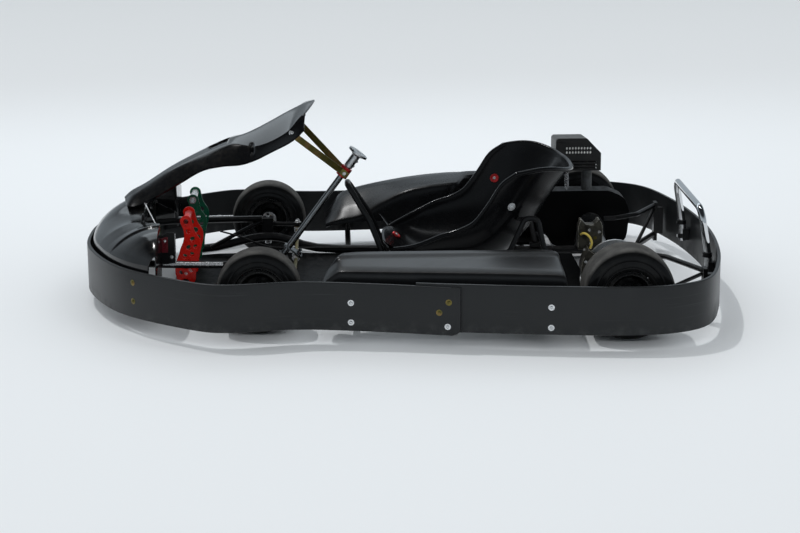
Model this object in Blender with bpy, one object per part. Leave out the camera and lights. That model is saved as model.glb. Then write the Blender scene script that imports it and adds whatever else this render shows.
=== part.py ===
"""Indoor go-kart with a full perimeter bumper band, built as separate bolted pieces.

+X is forward, +Y is the driver's left and +Z is up, in metres. The origin is on the floor under the
middle of the kart's box, and the four tyres stand on z = 0.
"""
import math

import bmesh
import bpy
from mathutils import Matrix, Vector

# Overall sizes
LENGTH = 1.976
WIDTH = 1.544
WHEELBASE = 1.075
FRONT_AXLE_X = 0.4345
GAP = 0.0003
RUNNING = 0.0008

# Bumper band
BAND_HEIGHT = 0.142
BAND_GROUND = 0.044
BAND_WALL = 0.010
BAND_JOINT_X = -0.1475
BAND_OVERLAP = 0.127
BAND_END_CHAMFER = 0.014
BAND_EASE = 0.0025
BAND_JOINT_DROP = 0.008

# Tyres and rims
FRONT_TYRE_RADIUS = 0.1250
FRONT_TYRE_WIDTH = 0.114
FRONT_TYRE_OUTER_Y = 0.560
REAR_TYRE_RADIUS = 0.1355
REAR_TYRE_WIDTH = 0.150
REAR_TYRE_TO_BAND = 0.088
RIM_BARREL_RADIUS = 0.062
RIM_FLANGE_RADIUS = 0.071
RIM_WALL = 0.003
TYRE_WALL = 0.009
WHEEL_HUB_RADIUS = 0.026
TYRE_FACETS = 22
RIM_FACETS = 16

# Frame tubes
RAIL_RADIUS = 0.014
CROSS_RADIUS = 0.013
RAIL_HEIGHT = 0.055
FRONT_CROSS_X = 0.700
SEAT_CROSS_X = 0.035
REAR_CROSS_X = -0.500
RAIL_FRONT_Y = 0.312
RAIL_KING_Y = 0.320
RAIL_KING_HEIGHT = 0.094
RAIL_REAR_Y = 0.255
RAIL_REAR_X = -0.700
HOOP_RADIUS = 0.011
HOOP_HEIGHT = 0.158
HOOP_TO_NOSE = 0.088
TRAY_THICKNESS = 0.003
TRAY_REAR_X = -0.010

# Steering
KINGPIN_Y = 0.365
KINGPIN_RADIUS = 0.005
SLEEVE_RADIUS = 0.0125
SLEEVE_HEIGHT = 0.050
BRACKET_PLATE = 0.006
BRACKET_LENGTH = 0.036
SPINDLE_RADIUS = 0.0085
ARM_LENGTH = 0.100
ARM_INSET = 0.018
ARM_RISE = 0.008
ARM_RADIUS = 0.0075
BALL_RADIUS = 0.011
BALL_HALF_HEIGHT = 0.008
TRACK_ROD_RADIUS = 0.006
PITMAN_RADIUS = 0.038
PITMAN_HALF_SPREAD = 0.021
PITMAN_PLATE = 0.006
ROD_CLEARANCE = 0.0018
COLUMN_RADIUS = 0.010
COLUMN_FOOT = Vector((0.386, 0.0, 0.098))
COLUMN_TILT = math.radians(36.6)
COLUMN_LENGTH = 0.427
PITMAN_ALONG = 0.048
CLAMP_ALONG = 0.349
CLAMP_LENGTH = 0.034
CLAMP_RADIUS = 0.0185
HUB_ALONG = 0.369
HUB_TUBE_RADIUS = 0.0140
HUB_FLANGE_RADIUS = 0.033
HUB_FLANGE_THICKNESS = 0.007

# Rear axle, brake and chain
AXLE_RADIUS = 0.020
AXLE_END_INSET = 0.044
CARRIER_Y = 0.255
CARRIER_THICKNESS = 0.026
CARRIER_RADIUS = 0.043
DISC_Y = 0.335
DISC_RADIUS = 0.089
DISC_THICKNESS = 0.008
DISC_HOLE_CIRCLE = 0.068
DISC_HOLE_RADIUS = 0.0065
DISC_HUB_RADIUS = 0.036
SPROCKET_Y = -0.375
CHAIN_PITCH = 0.0127
AXLE_TEETH = 32
ENGINE_TEETH = 14
SPROCKET_THICKNESS = 0.006
GUARD_HALF_WIDTH = 0.040
GUARD_WALL = 0.003

# Engine
CRANK_X = -0.392
CRANK_HEIGHT = 0.185
ENGINE_INNER_Y = -0.4153
CYLINDER_LEAN = math.radians(22)
CYLINDER_FOOT = (-0.404, 0.210)
CYLINDER_SHIFT_Y = 0.0015
CYLINDER_HALF_X = 0.036
CYLINDER_HALF_Y = 0.030
FIN_START = 0.032
FIN_REACH_X = 0.014
FIN_REACH_Y = 0.010
FIN_COUNT = 7
SHROUD_RADIUS = 0.092
MOUNT_THICKNESS = 0.008
MUFFLER_GUARD_LOW = Vector((-0.676, -0.455, 0.316))
MUFFLER_GUARD_HIGH = Vector((-0.5265, -0.290, 0.4245))
MUFFLER_GUARD_WALL = 0.002
MUFFLER_GUARD_FALL = 0.0145
INLET_RADIUS = 0.009
STUD_X = -0.569

# Pedals
PEDAL_X = 0.672
PEDAL_HEIGHT = 0.078
PEDAL_REACH = 0.212
PEDAL_PLATE = 0.005
BRAKE_PEDAL_INNER_Y = 0.085
BRAKE_PEDAL_OUTER_Y = 0.225
THROTTLE_PEDAL_INNER_Y = -0.095
THROTTLE_PEDAL_OUTER_Y = -0.225
PEDAL_EYE_RADIUS = 0.014
PEDAL_BAR_RADIUS = 0.011
PEDAL_SHAFT_RADIUS = 0.006

# Bodywork and seat
PLASTIC_WALL = 0.0036
NOSE_REAR_X = 0.735
NOSE_WELL_X = 0.800
NOSE_SKIRT = 0.110
NOSE_SHARES = (0.0, 0.05, 0.15, 0.32, 0.55, 0.80, 0.985)
PANEL_WALL = 0.004
POD_SKIRT = 0.090
LEFT_SNOUT = 0.050
POD_POST_RADIUS = 0.007
LEFT_POST_Y = 0.540
RIGHT_POST_Y = (0.560, 0.612)
NOSE_PEG_RADIUS = 0.006
SEAT_WALL = 0.004
SEAT_CROWN = 0.026
STRAP_WIDTH = 0.020
STRAP_THICKNESS = 0.003
PUSH_BAR_HALF_WIDTH = 0.235
PUSH_BAR_HEIGHT = 0.293
PUSH_BAR_RADIUS = 0.011
POST_Y = 0.475
POST_TO_TAIL = 0.098
TRUSS_RADIUS = 0.008
TRUSS_BEND_Y = 0.304
UPPER_TRUSS_SHARES = (0.175, 0.563)
LOWER_TRUSS_SHARES = (0.155, 0.525)

STRAP_FOOT_Y = 0.031
STRAP_HEAD = (0.330, 0.1450, 0.522)
SUPPORT_RADIUS = 0.0095
SUPPORT_HEAD_Y = 0.030
STAY_RADIUS = 0.009
STAY_FRONT_X = -0.285
STAY_BACK_X = -0.455
STAY_FRONT_HEAD = Vector((-0.375, 0.224, 0.268))
STAY_BACK_HEAD = Vector((-0.415, 0.219, 0.268))
STAY_SEAT_SHARE = 5 / 7
STAY_SEAT_TURN = 55
OUTRIGGER_FRONT_X = 0.166
OUTRIGGER_REAR_X = -0.4155
OUTRIGGER_RADIUS = 0.010
NOSE_CLEARANCE = 0.012
NOSE_EDGE_HEIGHT = 0.200
CALIPER_INNER = 0.050
CALIPER_OUTER = 0.106
CALIPER_HALF_WIDTH = 0.032
MASTER_BOX = (0.0345, 0.1085, 0.1840, 0.268)
MASTER_Y = (0.258, 0.298)
PUSH_BAR_TOP_TO_TAIL = 0.069
PUSH_BAR_FOOT_TO_TAIL = 0.043
CHAIN_DEPTH = 0.0075
CHAIN_WIDTH = 0.011
ENGINE_DEPTH = 0.084
FIN_PITCH = 0.0165
FIN_THICKNESS = 0.006

REAR_AXLE_Z = REAR_TYRE_RADIUS
REAR_AXLE_X = FRONT_AXLE_X - WHEELBASE
COLUMN_AXIS = Vector((-math.sin(COLUMN_TILT), 0.0, math.cos(COLUMN_TILT)))
REAR_TYRE_OUTER_Y = WIDTH / 2 - REAR_TYRE_TO_BAND
AXLE_HALF_LENGTH = REAR_TYRE_OUTER_Y - AXLE_END_INSET
HOOP_FRONT_X = LENGTH / 2 - HOOP_TO_NOSE
POST_X = POST_TO_TAIL - LENGTH / 2
PUSH_BAR_TOP_X = PUSH_BAR_TOP_TO_TAIL - LENGTH / 2
PUSH_BAR_FOOT_X = PUSH_BAR_FOOT_TO_TAIL - LENGTH / 2

# The band's plan from nose to tail, as shares of half the length and half the width.
BAND_PLAN = ((0.9896, 0.0), (0.963, 0.275), (0.847, 0.585), (0.635, 0.825), (0.515, 0.878),
             (0.315, 0.835), (0.085, 0.868), (-0.140, 0.925), (-0.435, 0.980), (-0.648, 1.0),
             (-0.790, 0.965), (-0.890, 0.850), (-0.952, 0.590), (-0.987, 0.300), (-1.0, 0.0))

# The height of the nose's crest at distances from the middle.
NOSE_CREST = ((0.0, 0.305), (0.050, 0.299), (0.100, 0.285), (0.150, 0.276), (0.200, 0.272), (0.250, 0.275),
              (0.300, 0.282), (0.340, 0.286), (0.380, 0.287), (0.420, 0.283), (0.460, 0.271), (0.495, 0.252),
              (0.520, 0.232))

# Stations of the front panel from its tip: middle (x, z), ridge (x, y, z) and lower edge (x, y, z).
PANEL_STATIONS = (
    ((0.872, 0.304), (0.868, 0.022, 0.302), (0.862, 0.060, 0.296)),
    ((0.848, 0.325), (0.843, 0.030, 0.321), (0.850, 0.095, 0.295)),
    ((0.800, 0.351), (0.798, 0.032, 0.347), (0.804, 0.104, 0.306)),
    ((0.716, 0.404), (0.713, 0.036, 0.401), (0.700, 0.112, 0.365)),
    ((0.612, 0.456), (0.610, 0.046, 0.452), (0.623, 0.118, 0.410)),
    ((0.536, 0.488), (0.535, 0.065, 0.481), (0.560, 0.126, 0.426)),
    ((0.493, 0.501), (0.490, 0.092, 0.483), (0.500, 0.138, 0.433)),
    ((0.455, 0.517), (0.455, 0.125, 0.484), (0.455, 0.147, 0.448)),
    ((0.405, 0.543), (0.405, 0.140, 0.501), (0.403, 0.152, 0.474)),
    ((0.350, 0.573), (0.350, 0.143, 0.533), (0.350, 0.155, 0.501)),
    ((0.300, 0.597), (0.316, 0.130, 0.570), (0.322, 0.153, 0.521)),
    ((0.268, 0.607), (0.296, 0.108, 0.585), (0.301, 0.146, 0.541)),
)

# Stations of the left pod: x, inner edge y, top z and outer ridge y.
LEFT_POD_STATIONS = ((0.203, 0.500, 0.222, 0.596), (0.188, 0.468, 0.225, 0.601), (0.150, 0.456, 0.226, 0.608),
                     (0.040, 0.455, 0.226, 0.622), (-0.200, 0.455, 0.226, 0.648), (-0.390, 0.455, 0.226, 0.674),
                     (-0.433, 0.462, 0.225, 0.681), (-0.453, 0.482, 0.221, 0.683))

# Stations of the right pod: x, inner edge y, inner crease z, outer ridge y and top z.
RIGHT_POD_STATIONS = ((0.240, 0.440, 0.112, 0.590, 0.118), (0.222, 0.430, 0.120, 0.597, 0.150),
                      (0.190, 0.424, 0.128, 0.604, 0.193), (0.120, 0.420, 0.140, 0.611, 0.213),
                      (0.050, 0.420, 0.186, 0.618, 0.226), (-0.030, 0.420, 0.226, 0.627, 0.238),
                      (-0.110, 0.420, 0.243, 0.636, 0.246), (-0.180, 0.421, 0.250, 0.642, 0.250),
                      (-0.212, 0.440, 0.250, 0.644, 0.250), (-0.245, 0.570, 0.249, 0.646, 0.250),
                      (-0.340, 0.577, 0.246, 0.650, 0.247), (-0.470, 0.580, 0.238, 0.656, 0.239))

# The seat's middle line (x, z) and its rim (x, y, z), from the front edge to the top.
SEAT_SPINE = ((0.060, 0.172), (-0.020, 0.102), (-0.120, 0.080), (-0.240, 0.086), (-0.330, 0.125), (-0.410, 0.215),
              (-0.470, 0.310), (-0.531, 0.397))
SEAT_RIM = ((0.036, 0.160, 0.160), (-0.038, 0.222, 0.186), (-0.117, 0.243, 0.221), (-0.174, 0.248, 0.239),
            (-0.218, 0.249, 0.264), (-0.260, 0.249, 0.319), (-0.300, 0.249, 0.379), (-0.346, 0.247, 0.412))

# The chain guard's outline in x and z.
GUARD_OUTLINE = ((-0.325, 0.130), (-0.325, 0.238), (-0.710, 0.238), (-0.762, 0.216), (-0.782, 0.165),
                 (-0.770, 0.050), (-0.520, 0.050), (-0.500, 0.094), (-0.400, 0.112))

# The hose runs from the casting over the brake down to the caliper; x from the rear axle.
BRAKE_HOSE = ((0.1005, 0.3003, 0.2335), (0.0925, 0.318, 0.241), (0.0785, 0.330, 0.233), (0.0715, 0.336, 0.215),
              (0.0765, 0.337, 0.1973))

# The cable runs from the pedal along the rail to the engine.
THROTTLE_CABLE = ((0.585, -0.180, 0.150), (0.520, -0.190, 0.128), (0.430, -0.215, 0.088), (0.340, -0.235, 0.078),
                  (0.150, -0.240, 0.075), (0.035, -0.240, 0.0714), (-0.150, -0.236, 0.078), (-0.240, -0.262, 0.110),
                  (-0.262, -0.330, 0.180), (-0.262, -0.395, 0.236))

# Each finish is a colour, a roughness and a metallic value.
FINISHES = {
    "band_black": ((0.035, 0.036, 0.038), 0.42, 0.0),
    "gloss_black": ((0.018, 0.018, 0.020), 0.16, 0.0),
    "frame_black": ((0.022, 0.022, 0.024), 0.36, 0.0),
    "tyre": ((0.030, 0.030, 0.030), 0.80, 0.0),
    "rim_black": ((0.020, 0.020, 0.022), 0.30, 0.0),
    "steel": ((0.52, 0.52, 0.53), 0.34, 1.0),
    "chrome": ((0.78, 0.79, 0.80), 0.10, 1.0),
    "aluminium": ((0.70, 0.71, 0.72), 0.33, 1.0),
    "zinc": ((0.44, 0.33, 0.13), 0.42, 0.8),
    "brake_red": ((0.62, 0.035, 0.020), 0.38, 0.0),
    "throttle_green": ((0.010, 0.125, 0.060), 0.42, 0.0),
    "red_anodised": ((0.66, 0.045, 0.050), 0.32, 0.7),
    "cast": ((0.30, 0.28, 0.24), 0.60, 0.9),
    "engine_black": ((0.028, 0.028, 0.030), 0.50, 0.0),
    "hose_yellow": ((0.62, 0.50, 0.12), 0.40, 0.0),
}


# Scene and material helpers

def clear_scene():
    for item in list(bpy.data.objects):
        bpy.data.objects.remove(item, do_unlink=True)


def finish_material(name, finish):
    colour, roughness, metallic = FINISHES[finish]
    material = bpy.data.materials.new(name + "_" + finish)
    material.use_nodes = True
    shader = material.node_tree.nodes["Principled BSDF"]
    shader.inputs["Base Color"].default_value = (*colour, 1.0)
    shader.inputs["Roughness"].default_value = roughness
    shader.inputs["Metallic"].default_value = metallic
    return material


def empty(name, location, parent=None):
    """A joint axis: the pieces that turn together are its children."""
    item = bpy.data.objects.new(name, None)
    item.location = location
    item.parent = parent
    bpy.context.scene.collection.objects.link(item)
    return item


def make(name, shape, finish, parent=None, smooth=True):
    """Turns a bmesh into a named piece with its own material."""
    mesh = bpy.data.meshes.new(name)
    bmesh.ops.recalc_face_normals(shape, faces=shape.faces)
    shape.to_mesh(mesh)
    shape.free()
    if smooth:
        mesh.shade_smooth()
        mesh.set_sharp_from_angle(angle=math.radians(35))
    item = bpy.data.objects.new(name, mesh)
    item.parent = parent
    item.data.materials.append(finish_material(name, finish))
    bpy.context.scene.collection.objects.link(item)
    return item


def combine(target, shape, operation, label, grouped=False):
    """Joins a shape to a piece or cuts it out of it, with the helper kept as a wire guide.

    A grouped shape is made of several closed bodies that run into each other.
    """
    mesh = bpy.data.meshes.new(label)
    bmesh.ops.recalc_face_normals(shape, faces=shape.faces)
    shape.to_mesh(mesh)
    shape.free()
    guide = bpy.data.objects.new(label, mesh)
    guide.parent = target.parent
    guide.matrix_basis = target.matrix_basis.copy()
    guide.hide_render = True
    guide.display_type = "WIRE"
    bpy.context.scene.collection.objects.link(guide)
    modifier = target.modifiers.new(label, "BOOLEAN")
    modifier.operation = operation
    modifier.solver = "EXACT"
    modifier.use_self = grouped
    modifier.object = guide


def wall(item, thickness):
    """Gives an open skin an even wall on both sides of its surface."""
    modifier = item.modifiers.new("wall", "SOLIDIFY")
    modifier.thickness = thickness
    modifier.offset = 0.0
    modifier.use_even_offset = True
    modifier.use_rim = True


# Shape helpers

def smooth_path(points, per_span=4, before=None, after=None):
    """A curve that passes through all its points: Catmull-Rom, with reflected ends unless they are given."""
    knots = [Vector(p) for p in points]
    first = Vector(before) if before else 2 * knots[0] - knots[1]
    last = Vector(after) if after else 2 * knots[-1] - knots[-2]
    knots = [first] + knots + [last]
    path = []
    for a, b, c, d in zip(knots, knots[1:], knots[2:], knots[3:]):
        for step in range(per_span):
            t = step / per_span
            path.append(0.5 * (2 * b + (c - a) * t + (2 * a - 5 * b + 4 * c - d) * t ** 2
                               + (3 * b - a - 3 * c + d) * t ** 3))
    path.append(knots[-2])
    return path


def rounded_path(points, radius, steps=4):
    """A run of straight pieces whose inner corners are bent to a radius."""
    knots = [Vector(p) for p in points]
    path = [knots[0]]
    for a, b, c in zip(knots, knots[1:], knots[2:]):
        back, ahead = (a - b).normalized(), (c - b).normalized()
        half = back.angle(ahead) / 2
        reach = radius / math.tan(half)
        centre = b + (back + ahead).normalized() * radius / math.sin(half)
        start, end = b + back * reach - centre, b + ahead * reach - centre
        turn = start.angle(end)
        for step in range(steps + 1):
            t = step / steps
            arm = (start * math.sin((1 - t) * turn) + end * math.sin(t * turn)) / math.sin(turn)
            path.append(centre + arm)
    path.append(knots[-1])
    return path


def at_x(path, x):
    """The point of a path that runs along X where it passes a given x."""
    for a, b in zip(path, path[1:]):
        if min(a.x, b.x) <= x <= max(a.x, b.x):
            return a.lerp(b, (x - a.x) / (b.x - a.x))
    raise ValueError("the path does not reach x = %.3f" % x)


def loft(shape, rings, closed=False, capped=True):
    """Joins rings of equal length with quads."""
    rows = [[shape.verts.new(p) for p in ring] for ring in rings]
    pairs = list(zip(rows, rows[1:])) + ([(rows[-1], rows[0])] if closed else [])
    for row, other in pairs:
        for i, vert in enumerate(row):
            following = (i + 1) % len(row)
            shape.faces.new((vert, row[following], other[following], other[i]))
    if capped and not closed:
        shape.faces.new(rows[0])
        shape.faces.new(rows[-1])
    return shape


def sheet(shape, rows):
    """An open skin of quads through a grid of points."""
    grid = [[shape.verts.new(p) for p in row] for row in rows]
    for row, other in zip(grid, grid[1:]):
        for a, b, c, d in zip(row, row[1:], other[1:], other):
            shape.faces.new((a, b, c, d))
    return shape


def tube(shape, path, radius, sides=10):
    """A round bar along a path, its rings turned only as far as the path turns."""
    path = [Vector(p) for p in path]
    tangents = [(b - a).normalized() for a, b in zip(path, path[1:])]
    directions = [tangents[0]] + [(a + b).normalized() for a, b in zip(tangents, tangents[1:])] + [tangents[-1]]
    side = directions[0].orthogonal().normalized()
    rings = []
    for i, (point, along) in enumerate(zip(path, directions)):
        side = (side - along * side.dot(along)).normalized()
        up = along.cross(side)
        stretch = 1.0
        if 0 < i < len(path) - 1:
            stretch = 1 / max(0.5, along.dot(tangents[i]))
        bend = Vector() if stretch == 1.0 else (tangents[i] - tangents[i - 1])
        ring = []
        for k in range(sides):
            angle = 2 * math.pi * (k + 0.5) / sides
            arm = side * math.cos(angle) + up * math.sin(angle)
            if bend.length > 1e-6:
                across = bend.normalized()
                arm += across * arm.dot(across) * (stretch - 1)
            ring.append(point + arm * radius)
        rings.append(ring)
    return loft(shape, rings)


def bar(shape, start, end, radius, sides=12):
    return tube(shape, (start, end), radius, sides)


def block(shape, low, high):
    (x0, y0, z0), (x1, y1, z1) = low, high
    rings = [[(x, y0, z0), (x, y1, z0), (x, y1, z1), (x, y0, z1)] for x in (x0, x1)]
    return loft(shape, rings)


def prism(shape, outline, low, high, axis="y"):
    """A flat outline carried along one axis, from low to high."""
    def at(a, b, level):
        return {"x": (level, a, b), "y": (a, level, b), "z": (a, b, level)}[axis]
    return loft(shape, [[at(a, b, level) for a, b in outline] for level in (low, high)])


def arc(centre, radius, start, end, steps):
    """Points round part of a circle, angles in degrees from the first axis towards the second."""
    out = []
    for k in range(steps + 1):
        angle = math.radians(start + (end - start) * k / steps)
        out.append((centre[0] + radius * math.cos(angle), centre[1] + radius * math.sin(angle)))
    return out


def rounded_outline(corners, radius, steps=3):
    """A closed outline with each corner rounded, as far as its shorter side allows."""
    out = []
    count = len(corners)
    for i in range(count):
        a, b, c = (Vector(corners[(i + k) % count]) for k in (-1, 0, 1))
        back, ahead = (a - b), (c - b)
        half = back.angle(ahead) / 2
        limit = 0.45 * min(back.length, ahead.length) * math.tan(half)
        bend = min(radius, limit)
        reach = bend / math.tan(half)
        back.normalize()
        ahead.normalize()
        centre = b + (back + ahead).normalized() * bend / math.sin(half)
        start, end = b + back * reach - centre, b + ahead * reach - centre
        turn = start.angle(end)
        for step in range(steps + 1):
            t = step / steps
            arm = (start * math.sin((1 - t) * turn) + end * math.sin(t * turn)) / math.sin(turn)
            out.append(tuple(centre + arm))
    return out


def turned(profile, facets, flat_down=False):
    """A closed profile of (radius, y) points turned about the Y axis."""
    shape = bmesh.new()
    start = math.pi / facets if flat_down else 0.0
    verts = [shape.verts.new((r * math.sin(start), y, -r * math.cos(start))) for r, y in profile]
    edges = [shape.edges.new((a, b)) for a, b in zip(verts, verts[1:] + verts[:1])]
    bmesh.ops.spin(shape, geom=verts + edges, cent=(0, 0, 0), axis=(0, 1, 0), angle=2 * math.pi,
                   steps=facets, use_merge=True)
    bmesh.ops.remove_doubles(shape, verts=shape.verts, dist=1e-6)
    return shape


def circumscribed(radius, facets):
    """The corner radius of a faceted round whose flats lie at the given radius."""
    return radius / math.cos(math.pi / facets)


# Bumper band

def band_plan():
    """The band's centre of wall in plan, from the nose round the left side to the tail."""
    half = [(LENGTH / 2 * x, WIDTH / 2 * y, 0.0) for x, y in BAND_PLAN]
    before, after = [(x, -y, z) for x, y, z in (half[1], half[-2])]
    return smooth_path(half, 3, before, after)


def offset_plan(path, distance):
    """A plan path that starts on the middle plane, moved square to itself, outwards on its way to the tail."""
    moved = []
    for i, point in enumerate(path):
        ahead = path[min(i + 1, len(path) - 1)] - path[max(i - 1, 0)]
        if i == 0 or abs(point.y) < 1e-6:
            ahead = Vector((0.0, 1.0 if i == 0 else -1.0, 0.0))
        moved.append(point + Vector((ahead.y, -ahead.x, 0.0)).normalized() * distance)
    return moved


def both_sides(path):
    """A left-hand plan path that starts on the middle plane, carried round the right side as well."""
    return [Vector((p.x, -p.y, p.z)) for p in reversed(path[1:])] + path


def band_wall(inner, outer, end_chamfer, drop):
    """The wall between two plan paths, its outer edges eased and its two ends cut back at the bottom corner."""
    rings = []
    last = len(inner) - 1
    for i, (a, b) in enumerate(zip(inner, outer)):
        low = BAND_GROUND - drop(b.x)
        top = low + BAND_HEIGHT
        if i in (0, last):
            low += end_chamfer
        ease = (b - a) * (1 - BAND_EASE / BAND_WALL) + a
        rings.append([(a.x, a.y, low), (ease.x, ease.y, low), (b.x, b.y, low + BAND_EASE),
                      (b.x, b.y, top - BAND_EASE), (ease.x, ease.y, top), (a.x, a.y, top)])
    return loft(bmesh.new(), rings)


def front_drop(x):
    """How much lower the front band hangs as it runs back to the joint."""
    return BAND_JOINT_DROP * min(1.0, max(0.0, (0.45 - x) / (0.45 - BAND_JOINT_X)))


def build_bands():
    plan = band_plan()
    front = [p for p in plan if p.x > BAND_JOINT_X + BAND_END_CHAMFER + 0.004]
    front += [at_x(plan, BAND_JOINT_X + BAND_END_CHAMFER), at_x(plan, BAND_JOINT_X)]
    inner = both_sides(offset_plan(front, GAP))
    outer = both_sides(offset_plan(front, GAP + BAND_WALL))
    make("front_band", band_wall(inner, outer, BAND_END_CHAMFER, front_drop), "band_black")

    rear = [at_x(plan, BAND_JOINT_X + BAND_OVERLAP)] + [p for p in plan if p.x < BAND_JOINT_X + BAND_OVERLAP - 0.004]
    rear.reverse()
    inner = both_sides(offset_plan(rear, BAND_WALL))
    outer = both_sides(rear)
    make("rear_band", band_wall(inner, outer, 0.0, lambda x: 0.0), "band_black")


# Frame

def rail_path(side):
    """One main rail, from the front cross tube over the stub axle and back to the rear axle."""
    king_x = FRONT_AXLE_X
    points = ((FRONT_CROSS_X + RAIL_RADIUS, RAIL_FRONT_Y, RAIL_HEIGHT + 0.003),
              (king_x + 0.175, RAIL_FRONT_Y + 0.004, RAIL_HEIGHT + 0.010),
              (king_x + 0.045, RAIL_KING_Y, RAIL_KING_HEIGHT),
              (king_x - 0.045, RAIL_KING_Y, RAIL_KING_HEIGHT),
              (king_x - 0.165, RAIL_FRONT_Y - 0.006, RAIL_HEIGHT + 0.006),
              (SEAT_CROSS_X, 0.290, RAIL_HEIGHT),
              (-0.220, 0.262, RAIL_HEIGHT),
              (REAR_CROSS_X, RAIL_REAR_Y, RAIL_HEIGHT),
              (RAIL_REAR_X, RAIL_REAR_Y, RAIL_HEIGHT))
    return [Vector((p.x, side * p.y, p.z)) for p in smooth_path(points, 3)]


def build_rail(name, side):
    """A rail with the stub axle's bracket and king pin welded to it."""
    rail = make(name, tube(bmesh.new(), rail_path(side), RAIL_RADIUS), "frame_black")
    inner = RAIL_KING_Y + RAIL_RADIUS * 0.80
    reach = KINGPIN_Y + SLEEVE_RADIUS
    centre = FRONT_TYRE_RADIUS
    half = SLEEVE_HEIGHT / 2 + RUNNING
    top, low = centre + half + BRACKET_PLATE, centre - half - BRACKET_PLATE
    outline = ((inner, low), (reach, low), (reach, low + BRACKET_PLATE), (inner + BRACKET_PLATE, low + BRACKET_PLATE),
               (inner + BRACKET_PLATE, top - BRACKET_PLATE), (reach, top - BRACKET_PLATE), (reach, top),
               (inner, top))
    outline = [(side * y, z) for y, z in outline]
    bracket = prism(bmesh.new(), outline, FRONT_AXLE_X - BRACKET_LENGTH / 2, FRONT_AXLE_X + BRACKET_LENGTH / 2, "x")
    combine(rail, bracket, "UNION", name + "_bracket_guide")
    pin = bmesh.new()
    foot = Vector((FRONT_AXLE_X, side * KINGPIN_Y, 0.0))
    bar(pin, foot + Vector((0, 0, low - 0.014)), foot + Vector((0, 0, top + 0.012)), KINGPIN_RADIUS, 8)
    combine(rail, pin, "UNION", name + "_pin_guide")
    return rail


def cross_tube(name, x):
    """A straight tube between the two rails, cut back to their inner sides."""
    reach = min(rail_at(x - CROSS_RADIUS).y, rail_at(x + CROSS_RADIUS).y) - RAIL_RADIUS - 2 * GAP
    height = rail_at(x).z
    make(name, bar(bmesh.new(), (x, -reach, height), (x, reach, height), CROSS_RADIUS, 10), "frame_black")


def rail_at(x):
    return at_x(rail_path(1), x)


def build_tray():
    """The flat floor tray under the driver's legs, bolted up against the rails' undersides."""
    top = RAIL_HEIGHT - RAIL_RADIUS - GAP
    stations = (FRONT_CROSS_X, 0.60, 0.50, 0.34, 0.20, 0.10, TRAY_REAR_X)
    edge = [(x, rail_at(x).y + RAIL_RADIUS * 0.6) for x in stations]
    edge[0] = (FRONT_CROSS_X + 0.012, edge[0][1] - 0.030)
    outline = edge + [(x, -y) for x, y in reversed(edge)]
    make("floor_tray", prism(bmesh.new(), outline, top - TRAY_THICKNESS, top, "z"), "frame_black", smooth=False)


def hoop_path():
    """The upper hoop that carries the nose: along one side, round the front and back."""
    leg_y = KINGPIN_Y - 0.040
    left = ((FRONT_AXLE_X + BRACKET_LENGTH / 2 + GAP, leg_y, HOOP_HEIGHT), (HOOP_FRONT_X - 0.260, leg_y - 0.010, HOOP_HEIGHT),
            (HOOP_FRONT_X - 0.110, leg_y - 0.035, HOOP_HEIGHT), (HOOP_FRONT_X - 0.018, 0.180, HOOP_HEIGHT),
            (HOOP_FRONT_X, 0.0, HOOP_HEIGHT))
    right = [(x, -y, z) for x, y, z in reversed(left[:-1])]
    return smooth_path(left + tuple(right), 3)


def build_hoop():
    """The hoop with two pegs that hold the nose from below."""
    path = hoop_path()
    hoop = make("front_hoop", tube(bmesh.new(), path, HOOP_RADIUS, 8), "frame_black")
    step = len(path) // 4
    foot = path[step].lerp(path[step + 1], 0.45)
    corners = [nose_skin(foot.x + a * NOSE_PEG_RADIUS, foot.y + b * NOSE_PEG_RADIUS) for a in (-1, 1) for b in (-1, 1)]
    top = min(corners) - PLASTIC_WALL / 2 - 2 * GAP
    for side in (-1, 1):
        peg = bar(bmesh.new(), (foot.x, side * foot.y, foot.z), (foot.x, side * foot.y, top), NOSE_PEG_RADIUS, 8)
        combine(hoop, peg, "UNION", "front_hoop_peg_guide_%d" % (side + 1))


# Front wheels and steering

def rim_profile(half_width, disc_y, hub_out, hub_in, bore):
    """A pressed rim: two flanges, a barrel, a dished disc and a hub boss."""
    inside = RIM_BARREL_RADIUS - RIM_WALL
    return ((RIM_FLANGE_RADIUS, -half_width), (RIM_FLANGE_RADIUS, -half_width + RIM_WALL),
            (RIM_BARREL_RADIUS, -half_width + RIM_WALL), (RIM_BARREL_RADIUS, half_width - RIM_WALL),
            (RIM_FLANGE_RADIUS, half_width - RIM_WALL), (RIM_FLANGE_RADIUS, half_width),
            (inside, half_width), (inside, disc_y + RIM_WALL), (WHEEL_HUB_RADIUS + 0.018, disc_y + 0.009),
            (WHEEL_HUB_RADIUS, disc_y + 0.009), (WHEEL_HUB_RADIUS, hub_out), (bore, hub_out), (bore, hub_in),
            (WHEEL_HUB_RADIUS, hub_in), (WHEEL_HUB_RADIUS, disc_y), (inside, disc_y), (inside, -half_width))


def tyre_profile(radius, half_width, rim_half):
    """A slick tyre: beads inside the flanges, round walls and a flat tread."""
    bead = circumscribed(RIM_BARREL_RADIUS + GAP, TYRE_FACETS)
    over = circumscribed(RIM_FLANGE_RADIUS + 2 * GAP, TYRE_FACETS)
    crown = circumscribed(radius, TYRE_FACETS)
    seat = rim_half - RIM_WALL - GAP
    span = radius - RIM_FLANGE_RADIUS
    outer = [(bead, seat), (over, seat), (over + 0.005, half_width - 0.006), (over + 0.48 * span, half_width),
             (crown - 0.10 * span, half_width - 0.007), (crown, half_width - 0.024)]
    inner = [(crown - TYRE_WALL, half_width - 0.026), (over + 0.45 * span, half_width - TYRE_WALL),
             (bead, seat - TYRE_WALL)]
    left = [(r, -y) for r, y in reversed(outer)]
    hollow = [(r, -y) for r, y in reversed(inner)] + inner
    return tuple(outer + left + hollow)


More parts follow.
